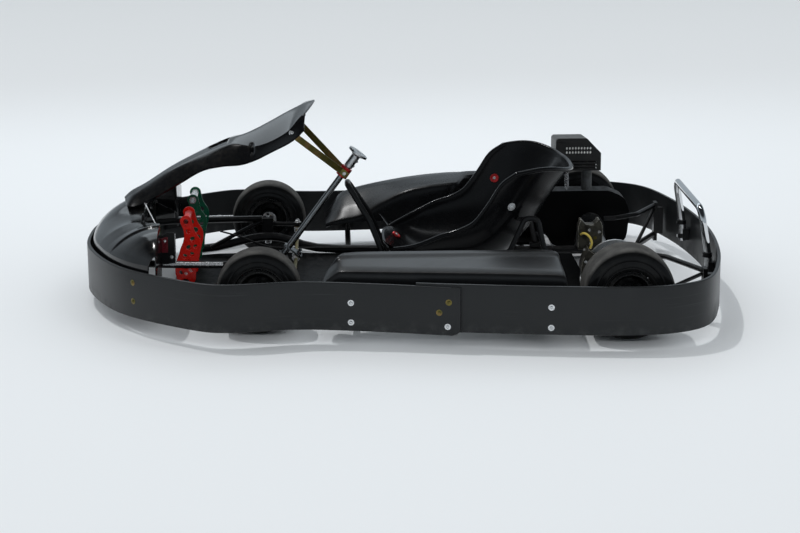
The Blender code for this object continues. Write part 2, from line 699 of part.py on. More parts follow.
def build_wheel(side, parent, names, radius, width, disc_y, hub_out, hub_in, bore):
    """A rim and its tyre about the wheel's own axis."""
    rim_half = width / 2 - 0.008
    rim_name, tyre_name = names
    profile = rim_profile(rim_half, disc_y, hub_out, hub_in, bore)
    rim = make(rim_name, turned([(r, side * y) for r, y in profile], RIM_FACETS), "rim_black", parent)
    profile = tyre_profile(radius, width / 2, rim_half)
    tyre = make(tyre_name, turned(profile, TYRE_FACETS, flat_down=True), "tyre", parent)
    return rim, tyre


def build_stub(name, side, parent):
    """The stub axle about its king pin: sleeve, spindle and steering arm."""
    half = SLEEVE_HEIGHT / 2
    stub = make(name, bar(bmesh.new(), (0, 0, -half), (0, 0, half), SLEEVE_RADIUS, 14), "frame_black", parent)
    spindle_end = FRONT_TYRE_OUTER_Y - 0.022 - KINGPIN_Y
    spindle = bar(bmesh.new(), (0, 0, 0), (0, side * spindle_end, 0), SPINDLE_RADIUS, 10)
    combine(stub, spindle, "UNION", name + "_spindle_guide")
    arm_path = ((0, 0, ARM_RISE), (-ARM_LENGTH * 0.5, -side * ARM_INSET * 0.6, ARM_RISE),
                (-ARM_LENGTH - ARM_RADIUS, -side * ARM_INSET, ARM_RISE))
    combine(stub, tube(bmesh.new(), arm_path, ARM_RADIUS, 8), "UNION", name + "_arm_guide")
    bore = bar(bmesh.new(), (0, 0, -half - 0.01), (0, 0, half + 0.01), KINGPIN_RADIUS + RUNNING, 12)
    combine(stub, bore, "DIFFERENCE", name + "_bore_guide")


def column_point(along, side=0.0, back=0.0):
    """A point given along the steering column, to its left, and back and down in its cross plane."""
    down = Vector((-math.cos(COLUMN_TILT), 0.0, -math.sin(COLUMN_TILT)))
    return COLUMN_FOOT + COLUMN_AXIS * along + Vector((0, side, 0)) + down * back


def arm_end(side):
    """The middle of the steering arm's end at rest."""
    return Vector((FRONT_AXLE_X - ARM_LENGTH, side * (KINGPIN_Y - ARM_INSET), FRONT_TYRE_RADIUS + ARM_RISE))


def build_track_rod(name, side, parent):
    """A track rod between the steering arm and the column's plate, about the arm's ball joint."""
    outer = Vector((0, 0, -ARM_RADIUS - GAP - BALL_HALF_HEIGHT))
    inner = column_point(PITMAN_ALONG, side * PITMAN_HALF_SPREAD, PITMAN_RADIUS) - arm_end(side)
    inner -= COLUMN_AXIS * (PITMAN_PLATE / 2 + ROD_CLEARANCE + BALL_HALF_HEIGHT)
    rod = make(name, bar(bmesh.new(), outer, inner, TRACK_ROD_RADIUS, 10), "zinc", parent)
    rise = Vector((0, 0, BALL_HALF_HEIGHT))
    combine(rod, bar(bmesh.new(), outer - rise, outer + rise, BALL_RADIUS, 12), "UNION", name + "_outer_guide")
    rise = COLUMN_AXIS * BALL_HALF_HEIGHT
    combine(rod, bar(bmesh.new(), inner - rise, inner + rise, BALL_RADIUS, 12), "UNION", name + "_inner_guide")


def build_column(parent):
    """The steering column about its own axis: a bar with the pitman plate near its foot."""
    column = make("steering_column", bar(bmesh.new(), (0, 0, 0), (0, 0, COLUMN_LENGTH), COLUMN_RADIUS, 14),
                  "frame_black", parent)
    corners = ((0.016, 0.016), (-PITMAN_RADIUS - 0.012, PITMAN_HALF_SPREAD + 0.012),
               (-PITMAN_RADIUS - 0.012, -PITMAN_HALF_SPREAD - 0.012), (0.016, -0.016))
    plate = prism(bmesh.new(), rounded_outline(corners, 0.010), PITMAN_ALONG - PITMAN_PLATE / 2,
                  PITMAN_ALONG + PITMAN_PLATE / 2, "z")
    combine(column, plate, "UNION", "steering_column_plate_guide")
    pins = bmesh.new()
    for side in (-1, 1):
        centre = Vector((-PITMAN_RADIUS, side * PITMAN_HALF_SPREAD, PITMAN_ALONG))
        bar(pins, centre, centre + Vector((0, 0, 0.013)), 0.006, 6)
    combine(column, pins, "UNION", "steering_column_bolt_guide")

    bore = COLUMN_RADIUS + GAP
    facets = 20
    reach = circumscribed(bore, facets)
    low, high = HUB_ALONG, COLUMN_LENGTH - HUB_FLANGE_THICKNESS + 0.001
    profile = ((reach, low), (HUB_TUBE_RADIUS, low), (HUB_TUBE_RADIUS, high - 0.008), (HUB_FLANGE_RADIUS, high),
               (HUB_FLANGE_RADIUS, high + HUB_FLANGE_THICKNESS), (reach, high + HUB_FLANGE_THICKNESS))
    hub = turned(profile, facets)
    bmesh.ops.rotate(hub, verts=hub.verts, cent=(0, 0, 0), matrix=Matrix.Rotation(math.pi / 2, 3, "X"))
    make("steering_hub", hub, "aluminium", parent)


def build_column_mounts():
    """The upper clamp block, the foot bearing's bracket and the strut from the seat cross tube."""
    tilt = Matrix.Rotation(-COLUMN_TILT, 3, "Y")
    facets = 16
    bore = circumscribed(COLUMN_RADIUS + RUNNING, facets)
    half = CLAMP_LENGTH / 2
    ring = ((bore, -half), (CLAMP_RADIUS, -half), (CLAMP_RADIUS, half), (bore, half))
    clamp = turned(ring, facets)
    bmesh.ops.rotate(clamp, verts=clamp.verts, cent=(0, 0, 0), matrix=Matrix.Rotation(math.pi / 2, 3, "X"))
    bmesh.ops.rotate(clamp, verts=clamp.verts, cent=(0, 0, 0), matrix=tilt)
    bmesh.ops.translate(clamp, verts=clamp.verts, vec=column_point(CLAMP_ALONG))
    clamp_block = make("column_clamp", clamp, "red_anodised")
    lugs = bmesh.new()
    for side in (-1, 1):
        bar(lugs, column_point(CLAMP_ALONG, side * (CLAMP_RADIUS - 0.004)),
            column_point(CLAMP_ALONG, side * STRAP_FOOT_Y), 0.009, 8)
    combine(clamp_block, lugs, "UNION", "column_clamp_lug_guide")

    tray_top = RAIL_HEIGHT - RAIL_RADIUS - GAP
    bore = circumscribed(COLUMN_RADIUS + RUNNING, facets)
    ring = ((bore, -0.009), (0.0175, -0.009), (0.0175, 0.009), (bore, 0.009))
    bearing = turned(ring, facets)
    bmesh.ops.rotate(bearing, verts=bearing.verts, cent=(0, 0, 0), matrix=Matrix.Rotation(math.pi / 2, 3, "X"))
    bmesh.ops.rotate(bearing, verts=bearing.verts, cent=(0, 0, 0), matrix=tilt)
    centre = column_point(0.012)
    bmesh.ops.translate(bearing, verts=bearing.verts, vec=centre)
    bracket = make("column_bracket", bearing, "frame_black")
    legs = bmesh.new()
    for side in (-1, 1):
        y = side * 0.0155
        block(legs, (centre.x - 0.010, min(y, y + side * 0.005), tray_top + GAP),
              (centre.x + 0.010, max(y, y + side * 0.005), centre.z))
    foot_top = tray_top + GAP + 0.003
    block(legs, (centre.x - 0.020, -0.034, tray_top + GAP), (centre.x + 0.020, 0.034, foot_top))
    combine(bracket, legs, "UNION", "column_bracket_leg_guide", grouped=True)


def build_column_support():
    """Two legs that spread from under the clamp down to the seat cross tube."""
    foot_z = RAIL_HEIGHT + CROSS_RADIUS + SUPPORT_RADIUS + 0.004
    shape = bmesh.new()
    head = column_point(CLAMP_ALONG) + Vector((-0.010, 0, -CLAMP_RADIUS - 0.0175))
    left = rounded_path(((SEAT_CROSS_X + 0.004, 0.108, foot_z), (0.100, 0.070, 0.232),
                         (head.x, SUPPORT_HEAD_Y, head.z), head), 0.020, 2)
    right = [Vector((p.x, -p.y, p.z)) for p in reversed(left[:-1])]
    support = make("column_support", tube(shape, left + right, SUPPORT_RADIUS, 8), "frame_black")
    for side in (-1, 1):
        foot = bmesh.new()
        top = foot_z + 0.010
        low = RAIL_HEIGHT + CROSS_RADIUS + GAP
        y = sorted((side * 0.094, side * 0.122))
        block(foot, (SEAT_CROSS_X - 0.010, y[0], low), (SEAT_CROSS_X + 0.018, y[1], top))
        combine(support, foot, "UNION", "column_support_foot_guide_%d" % (side + 1))


# Front bodywork

def nose_edge(y):
    """How far forward the nose reaches at a distance from the middle."""
    path = offset_plan([p for p in band_plan() if p.x > 0.3], -NOSE_CLEARANCE)
    for a, b in zip(path, path[1:]):
        if a.y <= abs(y) <= b.y:
            return a.x + (b.x - a.x) * (abs(y) - a.y) / (b.y - a.y)
    raise ValueError("the nose does not reach y = %.3f" % y)


def between(table, value):
    """Straight interpolation in a table of pairs."""
    for (a, p), (b, q) in zip(table, table[1:]):
        if a <= value <= b:
            return p + (q - p) * (value - a) / (b - a)
    return table[-1][1]


def nose_rear(y):
    return between(((0.0, NOSE_WELL_X), (0.240, NOSE_WELL_X), (0.310, NOSE_REAR_X), (1.0, NOSE_REAR_X)), abs(y))


def nose_crest(y):
    return between(NOSE_CREST, abs(y))


def nose_height(x, y):
    """The height of the nose's skin: it rises steeply behind the band and then levels out."""
    front, rear = nose_edge(y), nose_rear(y)
    share = min(1.0, max(0.0, (front - x) / (front - rear)))
    return NOSE_EDGE_HEIGHT + (nose_crest(y) - NOSE_EDGE_HEIGHT) * math.sin(share * math.pi / 2) ** 0.7


def nose_skin(x, y):
    """The height of the flat faces that the nose is made of, between its stations."""
    stations = [level for level, _ in NOSE_CREST]
    inner, outer = next((a, b) for a, b in zip(stations, stations[1:]) if a <= abs(y) <= b)
    heights = []
    for level in (inner, outer):
        front, rear = nose_edge(level), nose_rear(level)
        places = [front + (rear - front) * share for share in reversed(NOSE_SHARES)]
        heights.append(between([(place, nose_height(place, level)) for place in places], x))
    return heights[0] + (heights[1] - heights[0]) * (abs(y) - inner) / (outer - inner)


def build_nose():
    """The nose: a middle hump between two pods, hollow and open underneath and behind."""
    stations = [y for y, _ in NOSE_CREST]
    stations = [-y for y in reversed(stations[1:])] + stations
    rows = []
    for y in stations:
        front, rear = nose_edge(y), nose_rear(y)
        row = [(front + 0.002, y, NOSE_SKIRT), (front + 0.001, y, NOSE_EDGE_HEIGHT - 0.012)]
        for share in NOSE_SHARES:
            x = front + (rear - front) * share
            row.append((x, y, nose_height(x, y)))
        low = between(((0.0, -0.040), (0.245, -0.040), (0.310, -0.095), (0.345, -0.155), (1.0, -0.155)), abs(y))
        low = max(0.128, nose_crest(y) + low)
        row.append((rear, y, nose_crest(y) - 0.010))
        row.append((rear, y, min(low, nose_crest(y) - 0.025)))
        rows.append(row)
    wall(make("nose_fairing", sheet(bmesh.new(), rows), "gloss_black"), PLASTIC_WALL)


def smooth_rows(rows, per_span):
    """Adds rows between the given ones so that every column becomes a smooth curve."""
    columns = [smooth_path(column, per_span) for column in zip(*rows)]
    return [list(row) for row in zip(*columns)]


def mirrored_row(half):
    """A row that starts on the middle plane, carried over to the right side as well."""
    return [(x, -y, z) for x, y, z in reversed(half[1:])] + list(half)


def build_front_panel():
    """The steering fairing: a ridged tongue off the nose that widens into an arched screen."""
    rows = [mirrored_row([(mid[0], 0.0, mid[1]),
                          ((mid[0] + ridge[0]) / 2, ridge[1] * 0.55, (mid[1] * 1.3 + ridge[2] * 0.7) / 2),
                          ridge,
                          ((ridge[0] + edge[0]) / 2, ridge[1] + (edge[1] - ridge[1]) * 0.62,
                           (ridge[2] + edge[2]) / 2),
                          edge]) for mid, ridge, edge in PANEL_STATIONS]
    wall(make("front_panel", sheet(bmesh.new(), smooth_rows(rows, 2)), "gloss_black"), PANEL_WALL)


def build_straps():
    """Flat straps from the clamp's ends up to the screen's lower corners."""
    for name, side in (("left_panel_strap", 1), ("right_panel_strap", -1)):
        low = column_point(CLAMP_ALONG, side * (STRAP_FOOT_Y + GAP + STRAP_THICKNESS / 2))
        high = Vector((STRAP_HEAD[0], side * STRAP_HEAD[1], STRAP_HEAD[2]))
        flat_run = Vector((high.x - low.x, 0, high.z - low.z)).normalized()
        across = Vector((-flat_run.z, 0, flat_run.x))
        rings = []
        for point in (low - flat_run * 0.011, low + flat_run * 0.014, high - flat_run * 0.014, high):
            flat = across * STRAP_WIDTH / 2
            thick = Vector((0, STRAP_THICKNESS / 2, 0))
            rings.append([point - flat - thick, point + flat - thick, point + flat + thick, point - flat + thick])
        make(name, loft(bmesh.new(), rings), "zinc", smooth=False)


# Side pods and seat

def skin_height(rows, x, y):
    """The height of a pod's top at x and y, from the sections on both sides of x."""
    for row, other in zip(rows, rows[1:]):
        if other[0][0] <= x <= row[0][0]:
            t = (row[0][0] - x) / (row[0][0] - other[0][0])
            section = [(p[1] + (q[1] - p[1]) * t, p[2] + (q[2] - p[2]) * t) for p, q in zip(row, other)]
            heights = [a[1] + (b[1] - a[1]) * (y - a[0]) / (b[0] - a[0]) for a, b in zip(section, section[1:])
                       if min(a[0], b[0]) <= y <= max(a[0], b[0]) and abs(b[0] - a[0]) > 0.004]
            return max(heights)
    raise ValueError("the pod does not reach x = %.3f" % x)


def left_pod_rows():
    """The driver's left pod: a long shelf with a creased top and a deep outer side."""
    rows = []
    for x, inner, top, ridge in LEFT_POD_STATIONS:
        rows.append([(x, inner, top - 0.046), (x, inner + 0.003, top), (x, (inner + 0.52) / 2 + 0.004, top - 0.0005),
                     (x, 0.520, top - 0.009), (x, ridge - 0.030, 0.208 + (top - 0.225)),
                     (x, ridge, 0.200 + (top - 0.225)), (x, ridge + 0.005, 0.188 + (top - 0.225)),
                     (x, ridge + 0.008, POD_SKIRT)])
    snout = [(x + LEFT_SNOUT * share, y, max(POD_SKIRT + 0.004, z - fall)) for (x, y, z), share, fall
             in zip(rows[0], (0.55, 0.62, 0.72, 0.86, 1.0, 1.0, 0.96, 0.90),
                    (0.055, 0.052, 0.050, 0.046, 0.044, 0.040, 0.036, 0.0))]
    first = [(x + 0.003, y, min(z, 0.112)) for x, y, z in snout]
    last = [(x - 0.003, y, min(z, 0.130)) for x, y, z in rows[-1]]
    return [first, snout] + rows + [last]


def right_pod_rows():
    """The engine side's pod: higher towards the back, cut away inside for the engine."""
    rows = []
    for x, inner, crease, ridge, top in RIGHT_POD_STATIONS:
        low = POD_SKIRT if x < 0.15 else POD_SKIRT + 0.35 * (x - 0.15)
        rows.append([(x, -inner + 0.002, max(0.095, min(crease - 0.012, 0.125))), (x, -inner, crease),
                     (x, -(inner * 0.72 + ridge * 0.28), crease * 0.60 + top * 0.40 + 0.004),
                     (x, -(inner * 0.36 + ridge * 0.64), crease * 0.18 + top * 0.82 + 0.005),
                     (x, -ridge + 0.018, top), (x, -ridge, top - 0.012), (x, -ridge - 0.003, (top + low) / 2),
                     (x, -ridge - 0.002, min(low, top - 0.030))])
    return rows


def build_sidepods():
    for name, rows in (("left_sidepod", left_pod_rows()), ("right_sidepod", right_pod_rows())):
        wall(make(name, sheet(bmesh.new(), rows), "gloss_black"), PLASTIC_WALL)


def seat_skin(share, turn):
    """A point of the seat's skin: share from front to top, turn in degrees from the spine to the rim. Each section
    is a quarter ellipse, and towards the top it gets fuller and its shoulders rise."""
    spot = share * (len(SEAT_SPINE) - 1)
    i = min(int(spot), len(SEAT_SPINE) - 2)
    t = spot - i
    sx, sz = [a + (b - a) * t for a, b in zip(SEAT_SPINE[i], SEAT_SPINE[i + 1])]
    rx, ry, rz = [a + (b - a) * t for a, b in zip(SEAT_RIM[i], SEAT_RIM[i + 1])]
    lean = max(0.0, (share - 0.55) / 0.45)
    angle = math.radians(turn)
    lift = 1 - math.cos(angle)
    crown = SEAT_CROWN * lean ** 2 * math.sin(2 * angle) * math.sin(angle) ** 2
    return Vector((sx + (rx - sx) * lift, ry * math.sin(angle) ** (1 - 0.2 * lean), sz + (rz - sz) * lift + crown))


def seat_row(share):
    """One section of the seat, with its rolled rim."""
    row = [tuple(seat_skin(share, 90 * k / 6)) for k in range(7)]
    rx, ry, rz = row[-1]
    row.append((rx + 0.001, ry + 0.006, rz + 0.004))
    row.append((rx + 0.000, ry + 0.013, rz + 0.001))
    return mirrored_row(row)


def build_seat():
    rows = [seat_row(k / (len(SEAT_SPINE) - 1)) for k in range(len(SEAT_SPINE))]
    wall(make("seat_shell", sheet(bmesh.new(), smooth_rows(rows, 2)), "gloss_black"), SEAT_WALL)


def build_seat_stays():
    """On each side a tube that rises from the rail and returns to it, with a short arm to the seat's side."""
    for name, side in (("left_seat_stay", 1), ("right_seat_stay", -1)):
        front = rail_at(STAY_FRONT_X)
        back = rail_at(STAY_BACK_X)
        lift = Vector((0, 0.004, RAIL_RADIUS + STAY_RADIUS + 0.002))
        path = rounded_path((front + lift, STAY_FRONT_HEAD, STAY_BACK_HEAD, back + lift), 0.018, 3)
        path = [Vector((p.x, side * p.y, p.z)) for p in path]
        stay = make(name, tube(bmesh.new(), path, STAY_RADIUS, 8), "frame_black")
        head = (STAY_FRONT_HEAD + STAY_BACK_HEAD) / 2
        skin = seat_skin(STAY_SEAT_SHARE, STAY_SEAT_TURN)
        tip = skin + (head - skin).normalized() * (SEAT_WALL / 2 + 0.0056)
        ends = [Vector((p.x, side * p.y, p.z)) for p in (head, tip)]
        combine(stay, bar(bmesh.new(), ends[0], ends[1], STAY_RADIUS - 0.002, 8), "UNION", name + "_arm_guide")
        for label, foot in (("front", front), ("back", back)):
            pad = bmesh.new()
            y = sorted((side * (foot.y - 0.012), side * (foot.y + 0.012)))
            low = foot.z + RAIL_RADIUS + GAP
            block(pad, (foot.x - 0.018, y[0], low), (foot.x + 0.018, y[1], low + 0.012))
            combine(stay, pad, "UNION", "%s_%s_pad_guide" % (name, label))


# Rear axle, brake and bumper brackets

def build_axle(parent):
    axle = make("rear_axle", bar(bmesh.new(), (0, -AXLE_HALF_LENGTH, 0), (0, AXLE_HALF_LENGTH, 0), AXLE_RADIUS, 24),
                "steel", parent)
    facets = 24
    bore = circumscribed(AXLE_RADIUS + GAP, facets)
    half = DISC_THICKNESS / 2
    profile = ((bore, DISC_Y - 0.018), (DISC_HUB_RADIUS, DISC_Y - 0.018), (DISC_HUB_RADIUS, DISC_Y - half),
               (DISC_RADIUS, DISC_Y - half), (DISC_RADIUS, DISC_Y + half), (DISC_HUB_RADIUS, DISC_Y + half),
               (DISC_HUB_RADIUS, DISC_Y + 0.010), (bore, DISC_Y + 0.010))
    disc = make("brake_disc", turned(profile, 32), "steel", parent)
    holes = bmesh.new()
    for k in range(10):
        angle = 2 * math.pi * k / 10
        x, z = DISC_HOLE_CIRCLE * math.cos(angle), DISC_HOLE_CIRCLE * math.sin(angle)
        bar(holes, (x, DISC_Y - 0.02, z), (x, DISC_Y + 0.02, z), DISC_HOLE_RADIUS, 6)
    combine(disc, holes, "DIFFERENCE", "brake_disc_holes_guide")
    return axle


def sprocket_radius(teeth):
    """The pitch radius of a sprocket for the drive chain."""
    return CHAIN_PITCH / (2 * math.sin(math.pi / teeth))


def sprocket_outline(teeth):
    radius = sprocket_radius(teeth)
    outline = []
    for k in range(teeth):
        for share, size in ((0.0, -0.0030), (0.44, 0.0036), (0.60, 0.0036)):
            angle = 2 * math.pi * (k + share) / teeth
            outline.append(((radius + size) * math.cos(angle), (radius + size) * math.sin(angle)))
    return outline


def build_sprockets(axle_parent, crank_parent):
    half = SPROCKET_THICKNESS / 2
    plate = prism(bmesh.new(), sprocket_outline(AXLE_TEETH), SPROCKET_Y - half, SPROCKET_Y + half)
    sprocket = make("axle_sprocket", plate, "steel", axle_parent)
    hub = bar(bmesh.new(), (0, SPROCKET_Y - 0.020, 0), (0, SPROCKET_Y + 0.020, 0), 0.034, 18)
    combine(sprocket, hub, "UNION", "axle_sprocket_hub_guide")
    reach = circumscribed(AXLE_RADIUS + GAP, 24)
    bore = bar(bmesh.new(), (0, SPROCKET_Y - 0.03, 0), (0, SPROCKET_Y + 0.03, 0), reach, 24)
    combine(sprocket, bore, "DIFFERENCE", "axle_sprocket_bore_guide")

    plate = prism(bmesh.new(), sprocket_outline(ENGINE_TEETH), -half, half)
    crank = make("clutch_sprocket", plate, "steel", crank_parent)
    boss = bar(bmesh.new(), (0, 0, 0), (0, CHAIN_WIDTH / 2 + 0.004, 0), 0.020, 12)
    combine(crank, boss, "UNION", "clutch_sprocket_boss_guide")
    drum = bar(bmesh.new(), (0, CHAIN_WIDTH / 2 + 0.002, 0), (0, 0.031, 0), 0.038, 18)
    combine(crank, drum, "UNION", "clutch_sprocket_drum_guide")
    shaft_end = ENGINE_INNER_Y + GAP - SPROCKET_Y
    shaft = bar(bmesh.new(), (0, 0, 0), (0, shaft_end, 0), 0.011, 12)
    combine(crank, shaft, "UNION", "clutch_sprocket_shaft_guide")


def belt_loop(small, large, distance, steps):
    """The outline round two circles, the small one at the origin and the large one at -distance along x."""
    lean = math.degrees(math.asin((large - small) / distance))
    front = arc((0.0, 0.0), small, -(90 - lean), 90 - lean, steps)
    back = arc((-distance, 0.0), large, 90 - lean, 270 + lean, steps * 2)
    return front + back


def chain_frame():
    """The centre distance of the two sprockets and the turn from the level to the line between them."""
    line = Vector((REAR_AXLE_X - CRANK_X, 0.0, REAR_AXLE_Z - CRANK_HEIGHT))
    return line.length, math.atan2(-line.z, -line.x)


def placed_outline(outline):
    """An outline about the crankshaft, turned to the line of the sprockets and put in its place."""
    _, turn = chain_frame()
    return [(CRANK_X + a * math.cos(turn) - b * math.sin(turn), CRANK_HEIGHT + a * math.sin(turn) + b * math.cos(turn))
            for a, b in outline]


def build_chain_and_guard():
    distance, _ = chain_frame()
    small, large = sprocket_radius(ENGINE_TEETH), sprocket_radius(AXLE_TEETH)
    tip = 0.0036 + RUNNING
    outer = placed_outline(belt_loop(small + tip + CHAIN_DEPTH, large + tip + CHAIN_DEPTH, distance, 8))
    inner = placed_outline(belt_loop(small + tip, large + tip, distance, 8))
    half = CHAIN_WIDTH / 2
    rings = []
    for (a, b), (c, d) in zip(outer, inner):
        rings.append([(a, SPROCKET_Y - half, b), (a, SPROCKET_Y + half, b), (c, SPROCKET_Y + half, d),
                      (c, SPROCKET_Y - half, d)])
    make("drive_chain", loft(bmesh.new(), rings, closed=True), "steel")

    near, far = SPROCKET_Y + GUARD_HALF_WIDTH, SPROCKET_Y - GUARD_HALF_WIDTH
    shell = rounded_outline(GUARD_OUTLINE, 0.045, 4)
    guard = make("chain_guard", prism(bmesh.new(), shell, far, near), "frame_black")
    centre = Vector((sum(x for x, _ in GUARD_OUTLINE), sum(z for _, z in GUARD_OUTLINE))) / len(GUARD_OUTLINE)
    size = Vector((max(x for x, _ in shell) - min(x for x, _ in shell),
                   max(z for _, z in shell) - min(z for _, z in shell)))
    hollow = [((x - centre.x) * (1 - 2 * GUARD_WALL / size.x) + centre.x,
               (z - centre.y) * (1 - 2 * GUARD_WALL / size.y) + centre.y) for x, z in shell]
    cavity = prism(bmesh.new(), hollow, far + GUARD_WALL, near - GUARD_WALL)
    combine(guard, cavity, "DIFFERENCE", "chain_guard_hollow_guide")
    axle_hole = bar(bmesh.new(), (REAR_AXLE_X, far - 0.01, REAR_AXLE_Z), (REAR_AXLE_X, near + 0.01, REAR_AXLE_Z),
                    AXLE_RADIUS + 0.0045, 20)
    combine(guard, axle_hole, "DIFFERENCE", "chain_guard_axle_guide")
    crank_hole = bar(bmesh.new(), (CRANK_X, far - 0.01, CRANK_HEIGHT), (CRANK_X, far + 0.01, CRANK_HEIGHT), 0.017, 16)
    combine(guard, crank_hole, "DIFFERENCE", "chain_guard_crank_guide")


def build_carriers():
    """The axle's bearing carriers, each standing on its rail."""
    low = RAIL_HEIGHT + RAIL_RADIUS + GAP
    for name, side in (("left_axle_carrier", 1), ("right_axle_carrier", -1)):
        outline = [(REAR_AXLE_X + 0.052, low), (REAR_AXLE_X + 0.052, low + 0.014)]
        outline += arc((REAR_AXLE_X, REAR_AXLE_Z), CARRIER_RADIUS, -10, 190, 12)
        outline += [(REAR_AXLE_X - 0.052, low + 0.014), (REAR_AXLE_X - 0.052, low)]
        y = side * CARRIER_Y
        half = CARRIER_THICKNESS / 2
        carrier = make(name, prism(bmesh.new(), outline, y - half, y + half), "frame_black")
        reach = circumscribed(AXLE_RADIUS + RUNNING, 24)
        bore = bar(bmesh.new(), (REAR_AXLE_X, y - 0.03, REAR_AXLE_Z), (REAR_AXLE_X, y + 0.03, REAR_AXLE_Z), reach, 24)
        combine(carrier, bore, "DIFFERENCE", name + "_bore_guide")


def build_brake():
    """The caliper astride the disc's front edge, the master cylinder's casting above it and their hose."""
    centre = (REAR_AXLE_X, REAR_AXLE_Z)
    outline = arc(centre, CALIPER_OUTER, -34, 38, 7) + arc(centre, CALIPER_INNER, 38, -34, 5)
    low, high = DISC_Y - CALIPER_HALF_WIDTH, DISC_Y + CALIPER_HALF_WIDTH
    caliper = make("brake_caliper", prism(bmesh.new(), outline, low, high), "cast")
    slot = DISC_THICKNESS / 2 + 0.0015
    channel = bar(bmesh.new(), (REAR_AXLE_X, DISC_Y - slot, REAR_AXLE_Z), (REAR_AXLE_X, DISC_Y + slot, REAR_AXLE_Z),
                  circumscribed(DISC_RADIUS + 0.002, 36), 36)
    combine(caliper, channel, "DIFFERENCE", "brake_caliper_slot_guide")
    arm = bmesh.new()
    inner = CARRIER_Y + CARRIER_THICKNESS / 2 + GAP
    rail_top = RAIL_HEIGHT + RAIL_RADIUS
    block(arm, (REAR_AXLE_X + 0.036, inner, rail_top + 0.004), (REAR_AXLE_X + 0.075, low + 0.004, rail_top + 0.022))
    combine(caliper, arm, "UNION", "brake_caliper_arm_guide")

    z0, z1 = MASTER_BOX[2:]
    x0, x1 = (REAR_AXLE_X + x for x in MASTER_BOX[:2])
    corners = ((x0, z0), (x1, z0), (x1, z1 - 0.010), (x1 - 0.008, z1 + 0.012), (x1 - 0.024, z1 - 0.006),
               (x0 + 0.026, z1 - 0.006), (x0 + 0.010, z1 + 0.014), (x0, z1 - 0.008))
    low_y, high_y = MASTER_Y
    master = make("master_cylinder", prism(bmesh.new(), rounded_outline(corners, 0.004, 2), low_y, high_y), "cast")
    foot = bmesh.new()
    seat = REAR_AXLE_Z + CARRIER_RADIUS + GAP
    block(foot, (REAR_AXLE_X - 0.012, CARRIER_Y - 0.006, seat), (x0 + 0.014, low_y + 0.020, seat + 0.010))
    combine(master, foot, "UNION", "master_cylinder_foot_guide")


def cord(name, points, radius, finish):
    """A hose or cable along a curve with filled ends."""
    curve = bpy.data.curves.new(name + "_curve", "CURVE")
    curve.dimensions = "3D"
    curve.bevel_depth = radius
    curve.bevel_resolution = 1
    curve.use_fill_caps = True
    spline = curve.splines.new("POLY")
    spline.points.add(len(points) - 1)
    for point, place in zip(spline.points, points):
        point.co = (*place, 1.0)
    item = bpy.data.objects.new(name, curve)
    item.data.materials.append(finish_material(name, finish))
    bpy.context.scene.collection.objects.link(item)
    return item


def build_cords():
    hose = [(REAR_AXLE_X + x, y, z) for x, y, z in BRAKE_HOSE]
    cord("brake_hose", smooth_path(hose, 4), 0.0035, "hose_yellow")
    cord("throttle_cable", smooth_path(THROTTLE_CABLE, 4), 0.0030, "engine_black")


def build_rear_brackets():
    """On each side a post near the band with two tubes back to the rail and the bearing carrier."""
    band = offset_plan(list(reversed([p for p in band_plan() if p.x < -0.6])), BAND_WALL + 0.0008)
    carrier_x = REAR_AXLE_X - CARRIER_RADIUS - GAP - 0.0002
    rail_x = RAIL_REAR_X - 2 * GAP
    upper_x = [carrier_x + (POST_X - carrier_x) * share for share in UPPER_TRUSS_SHARES]
    lower_x = [rail_x + (POST_X - rail_x) * share for share in LOWER_TRUSS_SHARES]
    for name, side in (("left_rear_bracket", 1), ("right_rear_bracket", -1)):
        post = block(bmesh.new(), (POST_X - 0.006, side * POST_Y - 0.019, 0.036),
                     (POST_X + 0.006, side * POST_Y + 0.019, 0.168))
        bracket = make(name, post, "frame_black")
        upper = rounded_path(((carrier_x, side * CARRIER_Y, 0.160), (upper_x[0], side * CARRIER_Y, 0.161),
                              (upper_x[1], side * TRUSS_BEND_Y, 0.162), (POST_X, side * POST_Y, 0.158)), 0.030, 2)
        upper = tube(bmesh.new(), upper, TRUSS_RADIUS, 8)
        combine(bracket, upper, "UNION", name + "_upper_guide")
        lower = rounded_path(((rail_x, side * RAIL_REAR_Y, RAIL_HEIGHT), (lower_x[0], side * RAIL_REAR_Y, RAIL_HEIGHT),
                              (lower_x[1], side * TRUSS_BEND_Y, RAIL_HEIGHT),
                              (POST_X, side * POST_Y, 0.056)), 0.030, 2)
        lower = tube(bmesh.new(), lower, TRUSS_RADIUS + 0.002, 8)
        combine(bracket, lower, "UNION", name + "_lower_guide")
        brace = bar(bmesh.new(), (lower_x[1] - 0.002, side * (TRUSS_BEND_Y + 0.004), 0.057),
                    (POST_X + 0.004, side * (POST_Y - 0.007), 0.148), TRUSS_RADIUS - 0.002, 8)
        combine(bracket, brace, "UNION", name + "_brace_guide")
        pad = bmesh.new()
        reach = next(a.lerp(b, (POST_Y - a.y) / (b.y - a.y)) for a, b in zip(band, band[1:]) if a.y <= POST_Y <= b.y)
        block(pad, (reach.x + 0.009, side * POST_Y - 0.014, 0.060), (POST_X, side * POST_Y + 0.014, 0.150))
        combine(bracket, pad, "UNION", name + "_pad_guide")


